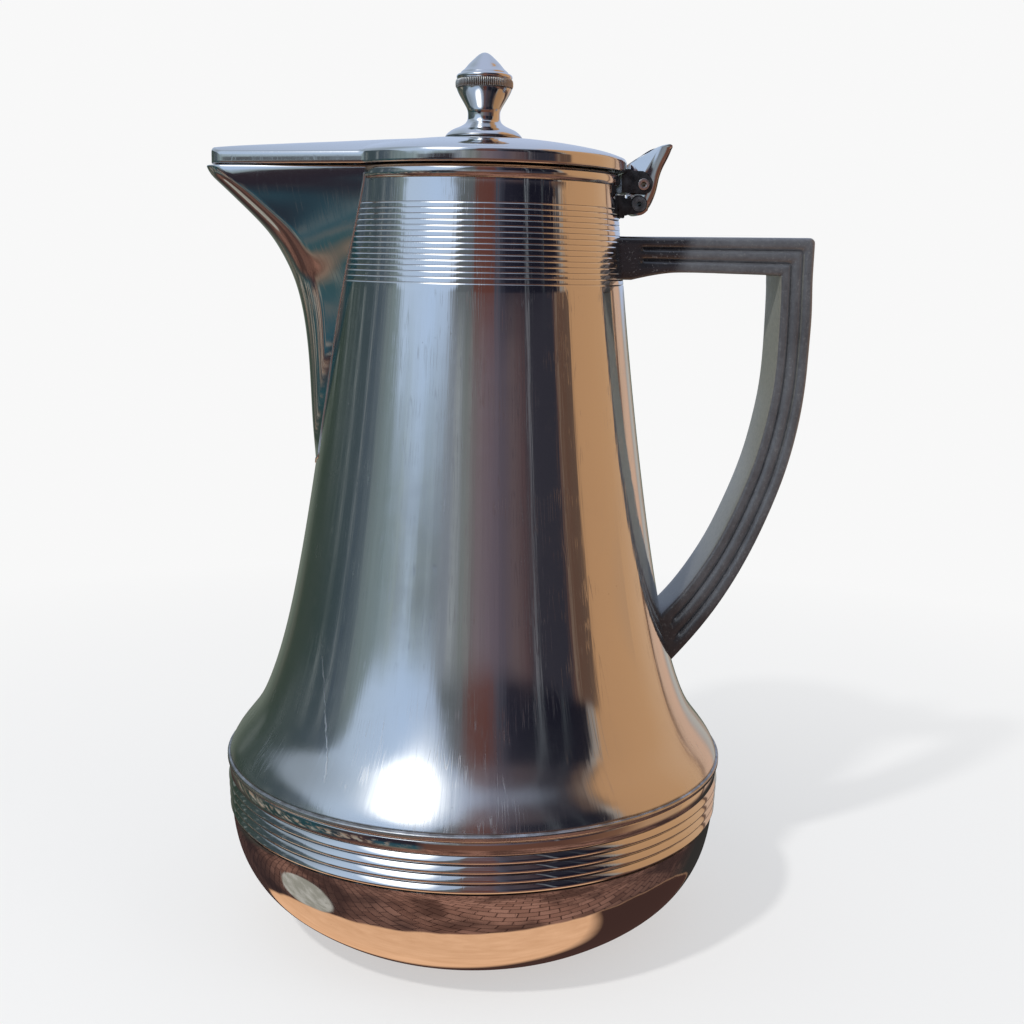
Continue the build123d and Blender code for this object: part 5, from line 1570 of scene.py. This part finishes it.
    # sunny patch: an oval round the foot of the jug
    er_, et_ = n.math("SUBTRACT", gr, 0.15), n.math("ADD", gt, 0.60)
    rad = n.math("SQRT", n.math("ADD", n.math("MULTIPLY", er_, er_), n.math("MULTIPLY", et_, et_)))
    rad = n.math("ADD", rad, n.math("MULTIPLY", n.math("SUBTRACT", n.noise(3.0, 2.0, 0.5), 0.5),
                                    0.16))
    stone = n.ramp(n.noise(9.0, 4.0, 0.6), [(0.3, (0.76, 0.42, 0.23)), (0.7, (0.90, 0.52, 0.30))])
    patch = n.math("MULTIPLY", n.grey(rad, 1.06, 1.02), n.grey(z, -0.2, -0.3))
    colour = n.mix(patch, colour, stone)
    # its right side lies in shade
    cast = n.math("SUBTRACT", n.math("MULTIPLY", gr, 0.8), n.math("MULTIPLY", gt, 0.6))
    cast = n.math("MULTIPLY", n.grey(cast, 0.50, 0.62), patch)
    colour = n.mix(cast, colour, (0.06, 0.03, 0.025))
    # a pale round slab to the left
    ds = n.math("SQRT", n.math("ADD", n.math("POWER", n.math("ADD", gr, 1.14), 2.0),
                               n.math("POWER", n.math("ADD", gt, 0.16), 2.0)))
    slab = n.math("MULTIPLY", n.grey(ds, 0.37, 0.34), n.grey(z, -0.3, -0.4))
    slab = n.math("MULTIPLY", slab, n.math("SUBTRACT", 1.0, patch))
    colour = n.mix(slab, colour, n.mix(n.grey(n.noise(14.0, 3.0), 0.4, 0.6), (0.34, 0.33, 0.28),
                                       (0.52, 0.50, 0.45)))
    # the sun's glare, high to the left of the camera: narrow below, broad above
    left_side = n.ramp(n.grey(z, 0.30, 0.90, 0.0, 1.0), [
        (0.0, (at(-29),) * 3), (0.12, (at(-32),) * 3), (0.35, (at(-43),) * 3),
        (0.75, (at(-58),) * 3), (1.0, (at(-66),) * 3)])
    off_left = n.math("SUBTRACT", turn, left_side)
    glow = n.math("MULTIPLY", n.grey(off_left, -0.022, 0.020), n.grey(turn, at(-15), at(-26)))
    glow = n.math("MULTIPLY", glow, n.math("MULTIPLY", n.grey(z, 0.28, 0.62), n.grey(z, 0.94, 0.84)))
    glow = n.math("POWER", glow, 1.3)
    colour = n.mix(glow, colour, (2.7, 2.75, 2.75))
    bg_a = t.nodes.new("ShaderNodeBackground")
    n.link(colour, bg_a.inputs[0])
    bg_a.inputs[1].default_value = 1.0
    bg_b = t.nodes.new("ShaderNodeBackground")
    bg_b.inputs[0].default_value = (0.52, 0.55, 0.60, 1)
    bg_b.inputs[1].default_value = 1.0
    bg_c = t.nodes.new("ShaderNodeBackground")
    bg_c.inputs[0].default_value = (*PALE, 1)
    bg_c.inputs[1].default_value = 1.0
    lp = t.nodes.new("ShaderNodeLightPath")
    ms = t.nodes.new("ShaderNodeMixShader")
    n.link(lp.outputs["Is Glossy Ray"], ms.inputs[0])
    n.link(bg_b.outputs[0], ms.inputs[1])
    n.link(bg_a.outputs[0], ms.inputs[2])
    mc = t.nodes.new("ShaderNodeMixShader")
    n.link(lp.outputs["Is Camera Ray"], mc.inputs[0])
    n.link(ms.outputs[0], mc.inputs[1])
    n.link(bg_c.outputs[0], mc.inputs[2])
    out = t.nodes.new("ShaderNodeOutputWorld")
    n.link(mc.outputs[0], out.inputs[0])


surroundings()


def area(name, az, el, dist_m, size, power, color=(1, 1, 1), target=(0, 0, 0.13)):
    data = bpy.data.lights.new(name, "AREA")
    data.shape = "DISK"
    data.size = size
    data.energy = power
    data.color = color
    o = bpy.data.objects.new(name, data)
    bpy.context.scene.collection.objects.link(o)
    a, e = math.radians(az - PSI), math.radians(el)
    d = Vector((math.sin(a) * math.cos(e), -math.cos(a) * math.cos(e), math.sin(e)))
    o.location = Vector(target) + d * dist_m
    o.rotation_euler = (-d).to_track_quat("-Z", "Y").to_euler()
    return o


key = area("key_light", -36, 46, 1.6, 0.10, 17.0, (1.0, 0.985, 0.95))
key.visible_glossy = False
fill = area("fill_light", 60, 35, 1.8, 1.0, 3.0, (1.0, 0.97, 0.93))
fill.visible_glossy = False
bpy.context.scene.view_settings.view_transform = "Standard"

# --------------------------------------------------------------------------
# Camera at the photograph's place
# --------------------------------------------------------------------------
cam = bpy.data.cameras.new("camera")
cam.lens = 1370 / 1024 * 36
cam.sensor_width = 36.0
cam.clip_start = 0.01
camera = bpy.data.objects.new("camera", cam)
bpy.context.scene.collection.objects.link(camera)
th, ro = math.radians(10.3), math.radians(1.15)
fwd = Vector((0, math.cos(th), -math.sin(th)))
u0, r0 = Vector((0, math.sin(th), math.cos(th))), Vector((1, 0, 0))
right = r0 * math.cos(ro) + u0 * math.sin(ro)
up = -r0 * math.sin(ro) + u0 * math.cos(ro)
spin = Matrix.Rotation(math.radians(-PSI), 4, "Z")
rot = Matrix((right, up, -fwd)).transposed().to_4x4()
camera.matrix_world = spin @ Matrix.Translation(Vector((10.3, -406, 198.5)) * MM) @ rot
bpy.context.scene.camera = camera
